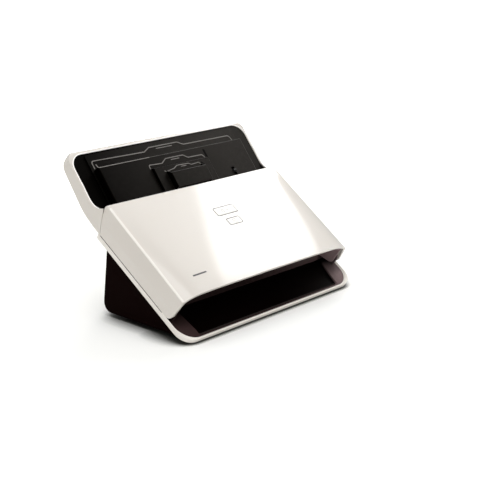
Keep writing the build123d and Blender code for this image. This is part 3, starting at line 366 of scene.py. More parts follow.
FINISHES = {
    "gloss_white": SHELL_WHITE,
    # painted bounce glow along the low front rim, with painted shade on the sunk ledge
    "housing_white": dict(
        SHELL_WHITE, painted_bounce_glow=dict(glow_back=0.12, glow_front=0.23, back=-12.0, front=-24.0)),
    "button_white": dict(
        base=(0.82, 0.795, 0.755), tint=(0.78, 0.755, 0.71), rough=0.36, rough_var=0.04,
        spec=0.45, coat=0.5, coat_rough=0.12, grain=0.01, grain_scale=1800, cloud=0.3,
        cloud_scale=60, wear=(0.7, 0.68, 0.64), wear_amount=0.3),
    # painted shade: darker to the left, in the well and up the slope
    "tray_mauve": dict(
        MAUVE, painted_side_shade=dict(MAUVE_SIDES, dark=0.19),
        painted_well_shade=dict(deep=(0.0022, 0.0009, 0.0008), low=-4.6, high=-2.4),
        painted_slope_shade=dict(deep=PAINTED_SHADE_DARK, start=-13.0, end=9.0)),
    # painted shade: darker to the left and up the slope
    "panel_mauve": dict(
        MAUVE, painted_side_shade=dict(MAUVE_SIDES, dark=0.085),
        painted_slope_shade=dict(deep=PAINTED_SHADE_DARK, start=16.0, end=34.0)),
    # painted shade: darker to the left
    "bed_dark": dict(
        base=(0.085, 0.056, 0.056), tint=(0.065, 0.043, 0.043), rough=0.5, rough_var=0.08,
        spec=0.10, grain=0.03, grain_scale=1500, wear=(0.10, 0.08, 0.08), wear_amount=0.2,
        painted_side_shade=dict(left=-10.0, right=130.0, least=0.10, power=1.3, flanks=False,
                        dark=0.10)),
    # painted shade: darker to the left and on left-facing flanks
    "liner_black": dict(
        base=(0.0040, 0.0034, 0.0028), tint=(0.0028, 0.0024, 0.0020), rough=0.33,
        rough_var=0.04, spec=0.30, grain=0.016, grain_scale=1700, cloud=0.6, cloud_scale=22,
        wear=(0.02, 0.018, 0.016), wear_amount=0.2, dust=0.002, spec_tint=WARM_SHEEN,
        painted_side_shade=dict(left=-90.0, right=60.0, least=0.10, power=1.0, flanks=True,
                        dark=0.12)),
    # painted shade: darker to the left and on left-facing flanks
    "insert_black": dict(
        base=(0.0042, 0.0036, 0.0029), tint=(0.0030, 0.0026, 0.0021), rough=0.34,
        rough_var=0.04, spec=0.32, grain=0.018, grain_scale=1500, cloud=0.6, cloud_scale=20,
        wear=(0.03, 0.027, 0.024), wear_amount=0.25, dust=0.003, spec_tint=WARM_SHEEN,
        painted_side_shade=dict(left=-120.0, right=80.0, least=0.14, power=1.0, flanks=True,
                        dark=0.12)),
    "stand_black": dict(
        base=(0.0044, 0.0007, 0.0005), tint=(0.0030, 0.0005, 0.0004), rough=0.50,
        rough_var=0.05, spec=0.20, ior=1.10, grain=0.022, grain_scale=1300, cloud=0.5,
        cloud_scale=18, wear=(0.020, 0.010, 0.009), wear_amount=0.3),
    "chassis_dark": dict(
        base=(0.012, 0.0115, 0.012), rough=0.5, rough_var=0.08, spec=0.25, grain=0.03,
        grain_scale=1500, wear=(0.07, 0.07, 0.07), dust=0.03),
    "rubber_black": dict(
        base=(0.010, 0.010, 0.011), rough=0.78, rough_var=0.08, spec=0.18, grain=0.06,
        grain_scale=1100, wear=(0.06, 0.06, 0.06), sheen=0.08),
    "rubber_grey": dict(
        base=(0.11, 0.11, 0.115), tint=(0.08, 0.08, 0.085), rough=0.72, rough_var=0.1,
        spec=0.25, grain=0.10, grain_scale=1400, wear=(0.22, 0.22, 0.22), sheen=0.15,
        dust=0.12),
    "steel": dict(
        base=(0.56, 0.57, 0.59), tint=(0.47, 0.48, 0.50), rough=0.24, rough_var=0.08,
        metallic=1.0, grain=0.02, grain_scale=700, brushed=(0.03, 1.0, 1.0),
        wear=(0.68, 0.68, 0.70)),
    "spring_steel": dict(
        base=(0.45, 0.45, 0.46), tint=(0.34, 0.34, 0.36), rough=0.3, rough_var=0.1,
        metallic=1.0, grain=0.03, grain_scale=2400, wear=(0.6, 0.6, 0.6)),
    "zinc_screw": dict(
        base=(0.50, 0.50, 0.47), tint=(0.38, 0.38, 0.36), rough=0.34, rough_var=0.1,
        metallic=1.0, grain=0.05, grain_scale=2200, cloud_scale=260, wear=(0.70, 0.70, 0.66)),
    "gear_plastic": dict(
        base=(0.70, 0.69, 0.64), tint=(0.62, 0.61, 0.57), rough=0.42, rough_var=0.08,
        spec=0.45, grain=0.04, grain_scale=1900, cloud_scale=90, wear=(0.8, 0.79, 0.75),
        subsurface=0.05),
    "pinion_brass": dict(
        base=(0.62, 0.44, 0.17), tint=(0.50, 0.35, 0.13), rough=0.26, rough_var=0.09,
        metallic=1.0, grain=0.02, grain_scale=1900, cloud_scale=200, wear=(0.8, 0.62, 0.3)),
    "bush_plastic": dict(
        base=(0.30, 0.24, 0.15), tint=(0.24, 0.19, 0.12), rough=0.4, rough_var=0.08,
        grain=0.04, grain_scale=2000, wear=(0.4, 0.34, 0.24)),
    "motor_can": dict(
        base=(0.42, 0.42, 0.43), tint=(0.33, 0.33, 0.35), rough=0.33, rough_var=0.1,
        metallic=1.0, grain=0.04, grain_scale=1500, brushed=(1.0, 0.06, 0.06),
        cloud_scale=70, wear=(0.6, 0.6, 0.6)),
    "scan_black": dict(
        base=(0.010, 0.010, 0.011), rough=0.42, rough_var=0.07, spec=0.3, grain=0.03,
        grain_scale=1800, wear=(0.06, 0.06, 0.06), dust=0.02),
    "scan_glass": dict(
        base=(0.075, 0.11, 0.10), tint=(0.06, 0.09, 0.085), rough=0.05, rough_var=0.025,
        spec=0.6, coat=0.6, coat_rough=0.02, ripple=0.02, ripple_scale=40, cloud=0.4),
    "board_green": dict(
        base=(0.022, 0.13, 0.055), tint=(0.016, 0.10, 0.045), rough=0.35, rough_var=0.08,
        coat=0.3, coat_rough=0.2, grain=0.05, grain_scale=900, cloud=0.8, cloud_scale=150,
        wear=(0.30, 0.26, 0.12)),
    "chip_black": dict(
        base=(0.018, 0.018, 0.02), rough=0.55, rough_var=0.08, grain=0.06,
        grain_scale=2400, wear=(0.1, 0.1, 0.1)),
    "socket_metal": dict(
        base=(0.60, 0.60, 0.61), tint=(0.50, 0.50, 0.52), rough=0.25, rough_var=0.08,
        metallic=1.0, grain=0.02, grain_scale=1800, brushed=(1.0, 0.05, 1.0),
        wear=(0.72, 0.72, 0.72)),
    "socket_black": dict(
        base=(0.012, 0.012, 0.013), rough=0.46, rough_var=0.08, spec=0.3, grain=0.03,
        grain_scale=1900, wear=(0.07, 0.07, 0.07)),
    # printed lines, and the painted highlight on the document pocket's top edge
    "line_grey": dict(
        base=(0.235, 0.222, 0.208), tint=(0.18, 0.170, 0.160), rough=0.5, rough_var=0.08,
        spec=0.35, grain=0.02, cloud=0.7, cloud_scale=45, wear=(0.34, 0.33, 0.31)),
    # dimmer part of the painted highlight on the document pocket's top edge
    "painted_highlight_dim": dict(
        base=(0.075, 0.070, 0.064), tint=(0.050, 0.047, 0.043), rough=0.5, rough_var=0.08,
        spec=0.3, grain=0.02, cloud=0.7, cloud_scale=45, wear=(0.14, 0.135, 0.125)),
    "line_faint": dict(
        base=(0.34, 0.33, 0.32), tint=(0.29, 0.28, 0.27), rough=0.4, grain=0.01,
        cloud=0.6, cloud_scale=120),
    # painted shadow in the joint gap
    "seam_dark": dict(
        base=(0.030, 0.026, 0.023), tint=(0.020, 0.018, 0.016), rough=0.6, rough_var=0.08,
        spec=0.2, grain=0.02, grain_scale=2400, cloud=0.6, cloud_scale=60),
    # painted shade in the gap round the buttons
    "gap_shade_grey": dict(
        base=(0.105, 0.10, 0.095), tint=(0.075, 0.072, 0.07), rough=0.55, rough_var=0.08,
        spec=0.3, grain=0.02, grain_scale=2400, cloud=0.6, cloud_scale=60),
    # painted highlight: brighter than the shell and glowing
    "lip_white": dict(
        base=(0.90, 0.88, 0.85), tint=(0.86, 0.84, 0.81), rough=0.26, rough_var=0.03,
        coat=1.0, coat_rough=0.04, grain=0.003, grain_scale=1500, cloud=0.25,
        cloud_scale=14, emission=dict(colour=(1.0, 0.98, 0.95), strength=0.30)),
    # painted highlight: brighter than the shell and glowing
    "crease_light": dict(
        base=(0.84, 0.81, 0.76), tint=(0.80, 0.77, 0.72), rough=0.30, rough_var=0.03,
        spec=0.45, coat=0.9, coat_rough=0.055, grain=0.003, grain_scale=1500, cloud=0.25,
        cloud_scale=14, emission=dict(colour=(1.0, 0.97, 0.92), strength=0.10)),
    # painted shade inside the slits of the insert
    "void_black": dict(
        base=(0.0022, 0.0018, 0.0016), tint=(0.0012, 0.0010, 0.0009), rough=0.7,
        rough_var=0.08, spec=0.05, grain=0.02, grain_scale=1800, cloud=0.6, cloud_scale=40),
    "badge_grey": dict(
        base=(0.10, 0.095, 0.095), tint=(0.07, 0.066, 0.066), rough=0.3, metallic=0.5,
        grain=0.02, grain_scale=2400, brushed=(0.1, 1.0, 1.0), cloud=0.5, cloud_scale=90,
        wear=(0.4, 0.4, 0.4)),
}
MATERIALS = {name: material(name, **finish) for name, finish in FINISHES.items()}

# ------------------------------------------------------------- finishes of the CAD pieces
# these pieces take the named finish; the others take the one in the frame's record
PIECE_GROUPS = {
    "gloss_white": ["input_hood", "front_cover"],
    "housing_white": ["lower_housing"],
    "bed_dark": ["paper_bed"],
    "liner_black": ["hood_liner"],
    "tray_mauve": ["output_tray"],
    "panel_mauve": ["cover_inner_panel"],
    "stand_black": ["base_stand"],
    "chassis_dark": ["base_plate", "pad_holder", "pinch_holders", "paper_flag",
                     "flag_bearings"],
    "button_white": ["scan_button", "file_button"],
    "insert_black": ["insert_back_plate", "document_pocket", "receipt_pocket", "card_pocket"],
    "rubber_black": ["rubber_feet"],
    "rubber_grey": ["feed_roller_tyres", "exit_roller_tyres", "pinch_roller_tyres",
                    "separation_pad"],
}


def paint_pieces():
    finish_of = {row["node"]: row.get("material_slot")
                 for row in frame["record"].get("subparts") or []}
    for finish, members in PIECE_GROUPS.items():
        for piece in members:
            finish_of[piece] = finish
    for piece, obj in PIECES.items():
        obj.data.materials.clear()
        obj.data.materials.append(
            MATERIALS.get(finish_of.get(piece), MATERIALS["chassis_dark"]))
        for polygon in obj.data.polygons:
            polygon.material_index = 0


paint_pieces()

# --------------------------------------------------------- mesh helpers
# owners: the body a detail rides on and its material slot
INSERT = ("tray_insert", "insert_black")
COVER = ("front_cover", "gloss_white")
BASE = ("base", "gloss_white")

surfaces = {}


def surface(piece):
    if piece not in surfaces:
        mesh = PIECES[piece].data
        surfaces[piece] = BVHTree.FromPolygons([tuple(v.co) for v in mesh.vertices],
                                               [tuple(p.vertices) for p in mesh.polygons])
    return surfaces[piece]


def drape(piece, points, normal, reach=0.012):
    """Points dropped on to a piece along -normal; ones that miss stay. reach is in metres."""
    dropped = []
    for point in points:
        hit = surface(piece).ray_cast(point + normal * reach, -normal, reach * 2.2)[0]
        dropped.append(point.copy() if hit is None else hit)
    return dropped


def densify(points, step):
    dense = []
    for start, end in zip(points, points[1:]):
        count = max(1, int((end - start).length / step))
        for i in range(count):
            dense.append(start.lerp(end, i / count))
    dense.append(points[-1])
    return dense


def round_path(points, radii, closed=False, segments=7):
    """2D polyline with its corners rounded; radii is one number or one per point."""
    points = [Vector(p) for p in points]
    count = len(points)
    if isinstance(radii, (int, float)):
        radii = [radii] * count
    path = []
    for i, corner in enumerate(points):
        if not closed and i in (0, count - 1):
            path.append(corner)
            continue
        before = points[i - 1] - corner
        after = points[(i + 1) % count] - corner
        angle = before.angle(after)
        if radii[i] <= 0 or angle > math.pi - 0.02:
            path.append(corner)
            continue
        cut = min(radii[i] / math.tan(angle / 2), before.length * 0.49, after.length * 0.49)
        start = corner + before.normalized() * cut
        end = corner + after.normalized() * cut
        for k in range(segments + 1):
            w = k / segments
            path.append(start * (1 - w) ** 2 + corner * 2 * w * (1 - w) + end * w ** 2)
    return path


def rounded_rect(centre_x, centre_y, width, height, radius, segments):
    points = []
    for side_x, side_y, first in ((1, 1, 0), (-1, 1, 90), (-1, -1, 180), (1, -1, 270)):
        for k in range(segments + 1):
            angle = math.radians(first + 90 * k / segments)
            points.append((centre_x + side_x * (width / 2 - radius) + radius * math.cos(angle),
                           centre_y + side_y * (height / 2 - radius) + radius * math.sin(angle)))
    return points


def mesh_object(name, bm):
    mesh = bpy.data.meshes.new(name)
    bm.to_mesh(mesh)
    bm.free()
    obj = bpy.data.objects.new(name, mesh)
    bpy.context.scene.collection.objects.link(obj)
    return obj


def finish_detail(name, bm, finish, owner, sharp_angle=35.0):
    bmesh.ops.recalc_face_normals(bm, faces=bm.faces)
    obj = mesh_object(name, bm)
    mesh = obj.data
    mesh.polygons.foreach_set("use_smooth", [True] * len(mesh.polygons))
    mesh.set_sharp_from_angle(angle=math.radians(sharp_angle))
    mesh.materials.append(MATERIALS[finish])
    body, slot_name = owner
    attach(obj, body)


def bridge(bm, ring, other):
    count = len(ring)
    for k in range(count):
        bm.faces.new((ring[k], ring[(k + 1) % count], other[(k + 1) % count], other[k]))


def sweep(name, points, normal, profile, finish, owner, closed=False, sharp_angle=35.0):
    """Sweeps a profile of (side, height) along points."""
    bm = bmesh.new()
    profile = [(side * MM, height * MM) for side, height in profile]
    count = len(points)
    rings = []
    for i, point in enumerate(points):
        if closed:
            tangent = points[(i + 1) % count] - points[i - 1]
        else:
            tangent = points[min(i + 1, count - 1)] - points[max(i - 1, 0)]
        tangent.normalize()
        out = normal - tangent * normal.dot(tangent)
        out.normalize()
        across = tangent.cross(out)
        rings.append([bm.verts.new(point + across * side + out * height)
                      for side, height in profile])
    for i in range(count if closed else count - 1):
        bridge(bm, rings[i], rings[(i + 1) % count])
    if not closed:
        bm.faces.new(rings[0])
        bm.faces.new(list(reversed(rings[-1])))
    finish_detail(name, bm, finish, owner, sharp_angle)


def rib(name, piece, outline, place, normal, width, height, sink, finish, owner,
        closed=False, step=2.0, lift=0.0):
    """Thin raised line with a crowned top that follows a 2D outline on a piece."""
    points = [place(p[0], p[1], 0.0) for p in outline]
    if closed:
        points.append(points[0])
    points = densify(points, step * MM)
    if closed:
        points.pop()
    points = [p + normal * lift * MM for p in drape(piece, points, normal)]
    half = width / 2
    profile = [(-half, -sink), (-half, height * 0.35), (-half * 0.82, height * 0.78),
               (-half * 0.42, height), (half * 0.42, height), (half * 0.82, height * 0.78),
               (half, height * 0.35), (half, -sink)]
    sweep(name, points, normal, profile, finish, owner, closed)


def plate(name, outline, place, bottom, top, chamfer, finish, owner):
    """Small closed plate from a 2D outline, its top edge chamfered."""
    bm = bmesh.new()
    centre = sum(outline, Vector((0, 0))) / len(outline)

    def ring(shrink, height):
        verts = []
        for point in outline:
            spoke = point - centre
            length = max(spoke.length, 1e-6)
            moved = centre + spoke * max(0.02, (length - shrink) / length)
            verts.append(bm.verts.new(place(moved.x, moved.y, height)))
        return verts

    rings = [ring(0, bottom), ring(0, top - chamfer), ring(chamfer, top)]
    for lower, upper in zip(rings, rings[1:]):
        bridge(bm, lower, upper)
    bm.faces.new(list(reversed(rings[0])))
    bm.faces.new(rings[-1])
    finish_detail(name, bm, finish, owner)


# --------------------------------------------------- lines on the insert
# height of each piece's drawing plane out of the tray
INSERT_LEVELS = {"insert_back_plate": 1.5, "document_pocket": 10.2, "receipt_pocket": 13.6}


def tray_at(level):
    return lambda x, down, out: tray(x, down, level + out)


def insert_rib(name, piece, outline, width, height, finish="line_grey"):
    rib(name, piece, outline, tray_at(INSERT_LEVELS[piece]), TRAY_OUT, width=width,
        height=height, sink=0.25, finish=finish, owner=INSERT)


# outlines: (x, down the tray); radii: one per point
insert_rib("documents_outline", "insert_back_plate", round_path(
    [(-109.0, 20.2), (-109.0, 10.6), (-32.5, 12.0), (-23.5, 7.7),
     (20.5, 7.7), (28.5, 12.0), (104.0, 12.4), (107.2, 21.6)],
    radii=[0, 3.4, 2.4, 2.4, 3.2, 3.2, 4.5, 0]), width=1.15, height=0.32)
# painted highlight along the document pocket's top edge: bright on the left, dimmer to the right
LIP_DOWN = 23.05
insert_rib("documents_lip_highlight", "document_pocket", round_path(
    [(-112.6, 18.6), (-111.2, LIP_DOWN), (-70.0, LIP_DOWN), (-38.0, LIP_DOWN)],
    radii=[0, 3.0, 0, 0]), width=0.9, height=0.30)
insert_rib("documents_lip_highlight_dim", "document_pocket",
           [(x, LIP_DOWN) for x in (-37.6, 0.0, 40.0, 110.6)],
           width=0.7, height=0.22, finish="painted_highlight_dim")
insert_rib("receipts_outline", "document_pocket", round_path(
    [(-44.2, 37.2), (-44.2, 32.2), (-24.4, 33.2), (-16.6, 28.4),
     (10.6, 28.4), (16.6, 32.6), (38.8, 32.9), (41.8, 37.4)],
    radii=[0, 2.2, 2.0, 2.0, 2.6, 2.6, 2.6, 0]), width=1.05, height=0.32)
insert_rib("cards_outline", "receipt_pocket", round_path(
    [(-29.8, 44.0), (-27.4, 45.2), (-14.6, 43.4), (-9.0, 40.6),
     (9.0, 41.0), (12.6, 43.2), (24.4, 42.4), (27.4, 45.6)],
    radii=[0, 1.6, 1.8, 1.8, 2.0, 2.0, 2.0, 0]), width=0.95, height=0.30)

# black plates in the slits at the right ends of the receipt and card slots, painted shade inside
# them:
# name, piece, corner radius, bottom, top, corners (x, down the tray)
SLITS = [
    ("receipt_guide_slit", "document_pocket", 0.8, -1.15, 0.12,
     [(43.4, 26.0), (46.2, 27.0), (46.4, 38.6), (43.2, 38.4)]),
    ("card_slot_end", "receipt_pocket", 0.5, -0.4, 0.16,
     [(28.2, 41.6), (33.4, 46.9), (27.9, 47.6)]),
]
for name, piece, radius, bottom, top, corners in SLITS:
    plate(name, round_path(corners, radius, closed=True, segments=3),
          tray_at(INSERT_LEVELS[piece]), bottom, top, chamfer=0.1, finish="void_black",
          owner=INSERT)

# plain bars on the three tabs: name, piece, centre x, down the tray, length
TAB_BARS = [
    ("tab_bar_documents", "insert_back_plate", -1.5, 10.6, 25.0),
    ("tab_bar_receipts", "document_pocket", -3.0, 31.0, 13.0),
    ("tab_bar_cards", "receipt_pocket", 0.5, 42.9, 8.5),
]
for name, piece, centre_x, down, length in TAB_BARS:
    insert_rib(name, piece, [(centre_x - length / 2, down), (centre_x + length / 2, down)],
               width=0.95, height=0.24)

# ----------------------------------------------------- buttons and badge
# dark ring in the gap round each button, painted shade of the gap: button, centre up the face,
# width, height
BUTTON_X = 5.2
BUTTON_GAP = 0.6     # added to both button sizes
for button, up, width, height in (("scan_button", 91.3, 30.6, 11.0),
                                  ("file_button", 74.4, 19.5, 9.0)):
    rib(button + "_gap_shade", "front_cover",
        rounded_rect(BUTTON_X, up, width + BUTTON_GAP, height + BUTTON_GAP, radius=1.9,
                     segments=6),
        face, FACE_NORMAL, width=0.95, height=0.10, sink=0.6, finish="gap_shade_grey",
        owner=COVER, closed=True, step=1.5, lift=0.03)

# embossed signs on the caps: name, button, line width, closed, points (x, up the face);
# closed ones are rounded sheets of paper
SIGNS = [
    ("scan_sign_sheet", "scan_button", 0.38, True,
     [(-0.6, 89.3), (-0.6, 93.3), (2.4, 93.3), (2.4, 89.3)]),
    ("scan_sign_arrow", "scan_button", 0.38, False, [(4.6, 91.3), (9.6, 91.3)]),
    ("scan_sign_head", "scan_button", 0.38, False, [(8.2, 92.6), (9.8, 91.3), (8.2, 90.0)]),
    ("file_sign_sheet", "file_button", 0.36, True,
     [(3.2, 73.9), (3.2, 76.8), (7.2, 76.8), (7.2, 73.9)]),
    ("file_sign_tray", "file_button", 0.36, False,
     [(1.6, 73.4), (1.6, 72.2), (8.8, 72.2), (8.8, 73.4)]),
]
for name, button, width, closed, points in SIGNS:
    if closed:
        points = round_path(points, 0.4, closed=True, segments=3)
    rib(name, button, points, face, FACE_NORMAL, width=width, height=0.07, sink=0.3,
        finish="line_faint", owner=(button, "button_white"), closed=closed, step=0.8)

# plain bar badge low on the left of the cover
rib("cover_badge", "front_cover", [(-103.5, 22.4), (-84.5, 22.4)], face, FACE_NORMAL,
    width=1.9, height=0.16, sink=0.4, finish="badge_grey", owner=COVER, step=1.5)

# ----------------------------------------------------- edges of hood and cover
# rolled lip round the tray opening, a bead in a brighter, glowing finish that paints its highlight
LIP_CORNER_X, LIP_CORNER_DOWN = 117.2, 15.8      # centres of the two top corners
LIP_RADIUS_X, LIP_RADIUS_DOWN = 16.75, 16.35
LIP_SIDE_X = LIP_CORNER_X + LIP_RADIUS_X
LIP_TOP_DOWN = LIP_CORNER_DOWN - LIP_RADIUS_DOWN
LIP_END_DOWN = 66.5
LIP_STEPS = 12


def lip_corner(centre_x, start_degrees):
    points = []
    for k in range(1, LIP_STEPS):
        angle = math.radians(start_degrees - 90 * k / LIP_STEPS)
        points.append((centre_x + LIP_RADIUS_X * math.cos(angle),
                       LIP_CORNER_DOWN - LIP_RADIUS_DOWN * math.sin(angle)))
    return points


lip = [(-LIP_SIDE_X, LIP_END_DOWN), (-LIP_SIDE_X, LIP_CORNER_DOWN),
       *lip_corner(-LIP_CORNER_X, 180),
       (-LIP_CORNER_X, LIP_TOP_DOWN), (LIP_CORNER_X, LIP_TOP_DOWN),
       *lip_corner(LIP_CORNER_X, 90),
       (LIP_SIDE_X, LIP_CORNER_DOWN), (LIP_SIDE_X, LIP_END_DOWN)]
rib("hood_lip_bead", "input_hood", lip, tray_at(1.3), TRAY_OUT, width=1.25, height=0.42,
    sink=0.5, finish="lip_white", owner=BASE, step=1.6)

SIDES = ((-1, "left"), (1, "right"))

# soft raised crease along both shoulders of the cover, in a brighter, glowing finish that paints
# its highlight; profile: (side, height)
CREASE_PROFILE = [(-1.3, -0.5), (-1.3, -0.12), (-0.9, 0.04), (-0.45, 0.15), (0.0, 0.19),
                  (0.45, 0.15), (0.9, 0.04), (1.3, -0.12), (1.3, -0.5)]
CREASE_STEPS = 40
for side, label in SIDES:
    normal = (SLOPE_OUT * 0.80 + Vector((side, 0, 0)) * 0.60).normalized()
    points = [slope(side * (131.25 - 0.3 * k / CREASE_STEPS), 1.2 + 131.6 * k / CREASE_STEPS,
                    27.0 + 3.2 * k / CREASE_STEPS) for k in range(CREASE_STEPS + 1)]
    sweep("cover_crease_" + label, drape("front_cover", points, normal, reach=0.010), normal,
          CREASE_PROFILE, "crease_light", COVER, sharp_angle=60.0)

# dark strip in the gap between the cover and the lower housing, painted shadow of the joint;
# profile: (side, height)
JOINT_PROFILE = [(-0.42, -0.12), (-0.42, 0.16), (-0.3, 0.22), (0.3, 0.22), (0.42, 0.16),
                 (0.42, -0.12)]
JOINT_X, JOINT_START, JOINT_LENGTH, JOINT_OUT = 136.95, 13.0, 110.5, 0.02
JOINT_STEPS = 30
for side, label in SIDES:
    points = [slope(side * JOINT_X, JOINT_START + JOINT_LENGTH * k / JOINT_STEPS, JOINT_OUT)
              for k in range(JOINT_STEPS + 1)]
    sweep("cover_joint_shadow_" + label, points, SLOPE_OUT, JOINT_PROFILE, "seam_dark", BASE,
          sharp_angle=50.0)

# ----------------------------------------------------- camera and studio, in metres
SOFTBOX_STRENGTH = 7.5
OVERHEAD_WATTS = 22.5
ROOM_STRENGTH = 0.62
scene = bpy.context.scene


def add_camera():
    """Looks down at the scanner from its front left."""
    data = bpy.data.cameras.new("camera")
    data.lens = 82.085
    data.sensor_width = 36.0
    data.sensor_fit = "HORIZONTAL"
    data.clip_start, data.clip_end = 0.05, 60.0
    camera = bpy.data.objects.new("camera", data)
    scene.collection.objects.link(camera)
    right = Vector((0.67006, -0.74229, 0.00566)).normalized()
    back = Vector((-0.71225, -0.64077, 0.28656)).normalized()
    up = back.cross(right).normalized()
    right = up.cross(back).normalized()
    turn = Matrix((right, up, back)).transposed()
    camera.matrix_world = Matrix.Translation((-0.88290, -0.84825, 0.41968)) @ turn.to_4x4()
    scene.camera = camera


def set_view():
    scene.view_settings.view_transform = "Standard"
    scene.view_settings.look = "None"
    scene.view_settings.exposure = 0.0
    scene.view_settings.gamma = 1.0


def floor_material():
    mat, tree, output = blank_material("floor_pale")
    shader = tree.nodes.new("ShaderNodeBsdfPrincipled")
    shader.inputs["Roughness"].default_value = 0.55
    shader.inputs["Specular IOR Level"].default_value = 0.25
    position = object_position(tree)
    pale = mix(tree, noise(tree, position, scale=3.0, detail=2.0),
               (0.90, 0.905, 0.89, 1), (0.88, 0.885, 0.87, 1))
    # dark contact shadow close to the feet
    occlusion = tree.nodes.new("ShaderNodeAmbientOcclusion")
    occlusion.samples = 12
    occlusion.inputs["Distance"].default_value = 0.035
    openness = ramp(tree, occlusion.outputs["AO"],
                    [(0.40, grey(0.0)), (0.56, grey(0.38)), (0.84, grey(1.0))])
    tree.links.new(mix(tree, openness, (0.05, 0.05, 0.045, 1), pale),
                   shader.inputs["Base Color"])
    # away from the scanner the floor glows for the camera, so it fades into the backdrop
    distance = tree.nodes.new("ShaderNodeVectorMath")
    distance.operation = "LENGTH"
    tree.links.new(position, distance.inputs[0])
    far = mask(tree, calc(tree, "MULTIPLY", distance.outputs["Value"], 0.5),
               low=0.12, high=0.42)
    light_path = tree.nodes.new("ShaderNodeLightPath")
    # glow is 0.20 near the scanner and 0.55 more far away
    lift = calc(tree, "MULTIPLY_ADD", far, 0.55, 0.20)
    glow = calc(tree, "MULTIPLY", calc(tree, "MULTIPLY", lift, openness),
                light_path.outputs["Is Camera Ray"])
    shader.inputs["Emission Color"].default_value = (1, 1, 1, 1)
    tree.links.new(glow, shader.inputs["Emission Strength"])
    tree.links.new(shader.outputs[0], output.inputs["Surface"])
    return mat


def add_floor():
    """Wide pale disc."""
    bm = bmesh.new()
    segments = 48
    rings = []
    for radius in (0.25, 0.5, 1.0, 2.0, 4.0, 8.0):
        rings.append([bm.verts.new((radius * math.cos(2 * math.pi * k / segments),
                                    radius * math.sin(2 * math.pi * k / segments), 0.0))
                      for k in range(segments)])
    centre = bm.verts.new((0, 0, 0))
    for k in range(segments):
        bm.faces.new((centre, rings[0][k], rings[0][(k + 1) % segments]))
    for inner, outer in zip(rings, rings[1:]):
        for k in range(segments):
            after = (k + 1) % segments
            bm.faces.new((inner[k], outer[k], outer[after], inner[after]))
    floor = mesh_object("floor", bm)
    floor.data.materials.append(floor_material())


def add_world():
    """Soft white room, dimmer to the left, with a bright low front; plain white to the camera."""
    world = bpy.data.worlds.new("studio")
    scene.world = world
    world.use_nodes = True
    tree = world.node_tree
    tree.nodes.clear()
    output = tree.nodes.new("ShaderNodeOutputWorld")
    room = tree.nodes.new("ShaderNodeBackground")
    backdrop = tree.nodes.new("ShaderNodeBackground")
    switch = tree.nodes.new("ShaderNodeMixShader")
    light_path = tree.nodes.new("ShaderNodeLightPath")
    direction = separate(tree, tree.nodes.new("ShaderNodeTexCoord").outputs["Generated"])
    across = calc(tree, "MULTIPLY_ADD", direction["X"], 0.5, 0.5)
    colour = ramp(tree, across, [(0.0, (0.62, 0.60, 0.57, 1)), (0.5, (0.74, 0.735, 0.72, 1)),
                                 (1.0, (0.86, 0.86, 0.86, 1))])
    frontness = calc(tree, "SUBTRACT", calc(tree, "MULTIPLY", direction["Y"], -1.0), 0.25,
                     clamp=True)
    steepness = calc(tree, "MULTIPLY", calc(tree, "ABSOLUTE", direction["Z"]), 2.6)
    levelness = calc(tree, "SUBTRACT", 1.0, steepness, clamp=True)
    low_front = calc(tree, "MULTIPLY", frontness, levelness)
    tree.links.new(mix(tree, low_front, colour, (3.0, 2.94, 2.84, 1)), room.inputs["Color"])
    room.inputs["Strength"].default_value = ROOM_STRENGTH
    backdrop.inputs["Color"].default_value = (1, 1, 1, 1)
    backdrop.inputs["Strength"].default_value = 1.05
    tree.links.new(light_path.outputs["Is Camera Ray"], switch.inputs[0])
    tree.links.new(room.outputs[0], switch.inputs[1])
    tree.links.new(backdrop.outputs[0], switch.inputs[2])
    tree.links.new(switch.outputs[0], output.inputs["Surface"])


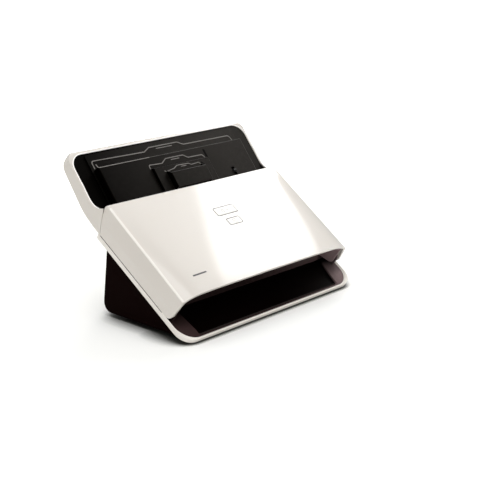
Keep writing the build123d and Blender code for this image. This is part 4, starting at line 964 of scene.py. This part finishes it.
def softbox_material():
    """Glow that falls off towards the edges."""
    mat, tree, output = blank_material("softbox_glow")
    emitter = tree.nodes.new("ShaderNodeEmission")
    place = separate(tree, tree.nodes.new("ShaderNodeUVMap").outputs[0])
    vertical = ramp(tree, place["Y"],
                    [(0.0, grey(0.25)), (0.12, grey(0.85)), (0.45, grey(1.0)),
                     (0.86, grey(1.0)), (0.94, grey(0.40)), (1.0, grey(0.0))])
    horizontal = ramp(tree, place["X"], [(0.0, grey(0.0)), (0.06, grey(1.0)),
                                         (0.85, grey(1.0)), (1.0, grey(0.2))])
    strength = calc(tree, "MULTIPLY", calc(tree, "MULTIPLY", vertical, horizontal),
                    SOFTBOX_STRENGTH)
    tree.links.new(strength, emitter.inputs["Strength"])
    emitter.inputs["Color"].default_value = (1.0, 0.995, 0.985, 1)
    tree.links.new(emitter.outputs[0], output.inputs["Surface"])
    return mat


def add_softbox():
    """Big soft box high on the right; its upper edge shows as a soft line in the cover."""
    columns, rows = 24, 16
    bm = bmesh.new()
    grid = []
    for i in range(columns + 1):
        along = i / columns
        y = -0.16 + 1.30 * along
        top = 1.452 - 0.31 * (y - 0.006)     # the upper edge drops towards the back
        low = top - 0.50 - 0.10 * along
        grid.append([bm.verts.new((1.2, y, low + (top - low) * j / rows))
                     for j in range(rows + 1)])
    layer = bm.loops.layers.uv.new("UVMap")
    for i in range(columns):
        for j in range(rows):
            corners = ((i, j), (i, j + 1), (i + 1, j + 1), (i + 1, j))
            quad = bm.faces.new([grid[column][row] for column, row in corners])
            for loop, (column, row) in zip(quad.loops, corners):
                loop[layer].uv = (column / columns, row / rows)
    softbox = mesh_object("softbox", bm)
    softbox.visible_camera = False
    softbox.visible_shadow = False
    softbox.data.materials.append(softbox_material())


def add_overhead():
    """Wide overhead fill that keeps the floor and the hood rim white."""
    data = bpy.data.lights.new("overhead", "AREA")
    data.shape = "RECTANGLE"
    data.size, data.size_y = 2.0, 1.8
    data.energy = OVERHEAD_WATTS
    data.color = (1.0, 1.0, 1.0)
    data.spread = math.radians(180)
    light = bpy.data.objects.new("overhead", data)
    scene.collection.objects.link(light)
    light.location = (-0.55, 0.10, 1.9)
    aim = Vector((0.0, 0.0, 0.0)) - light.location
    light.rotation_mode = "QUATERNION"
    light.rotation_quaternion = aim.to_track_quat("-Z", "Y")


add_camera()
set_view()
add_floor()
add_world()
add_softbox()
add_overhead()
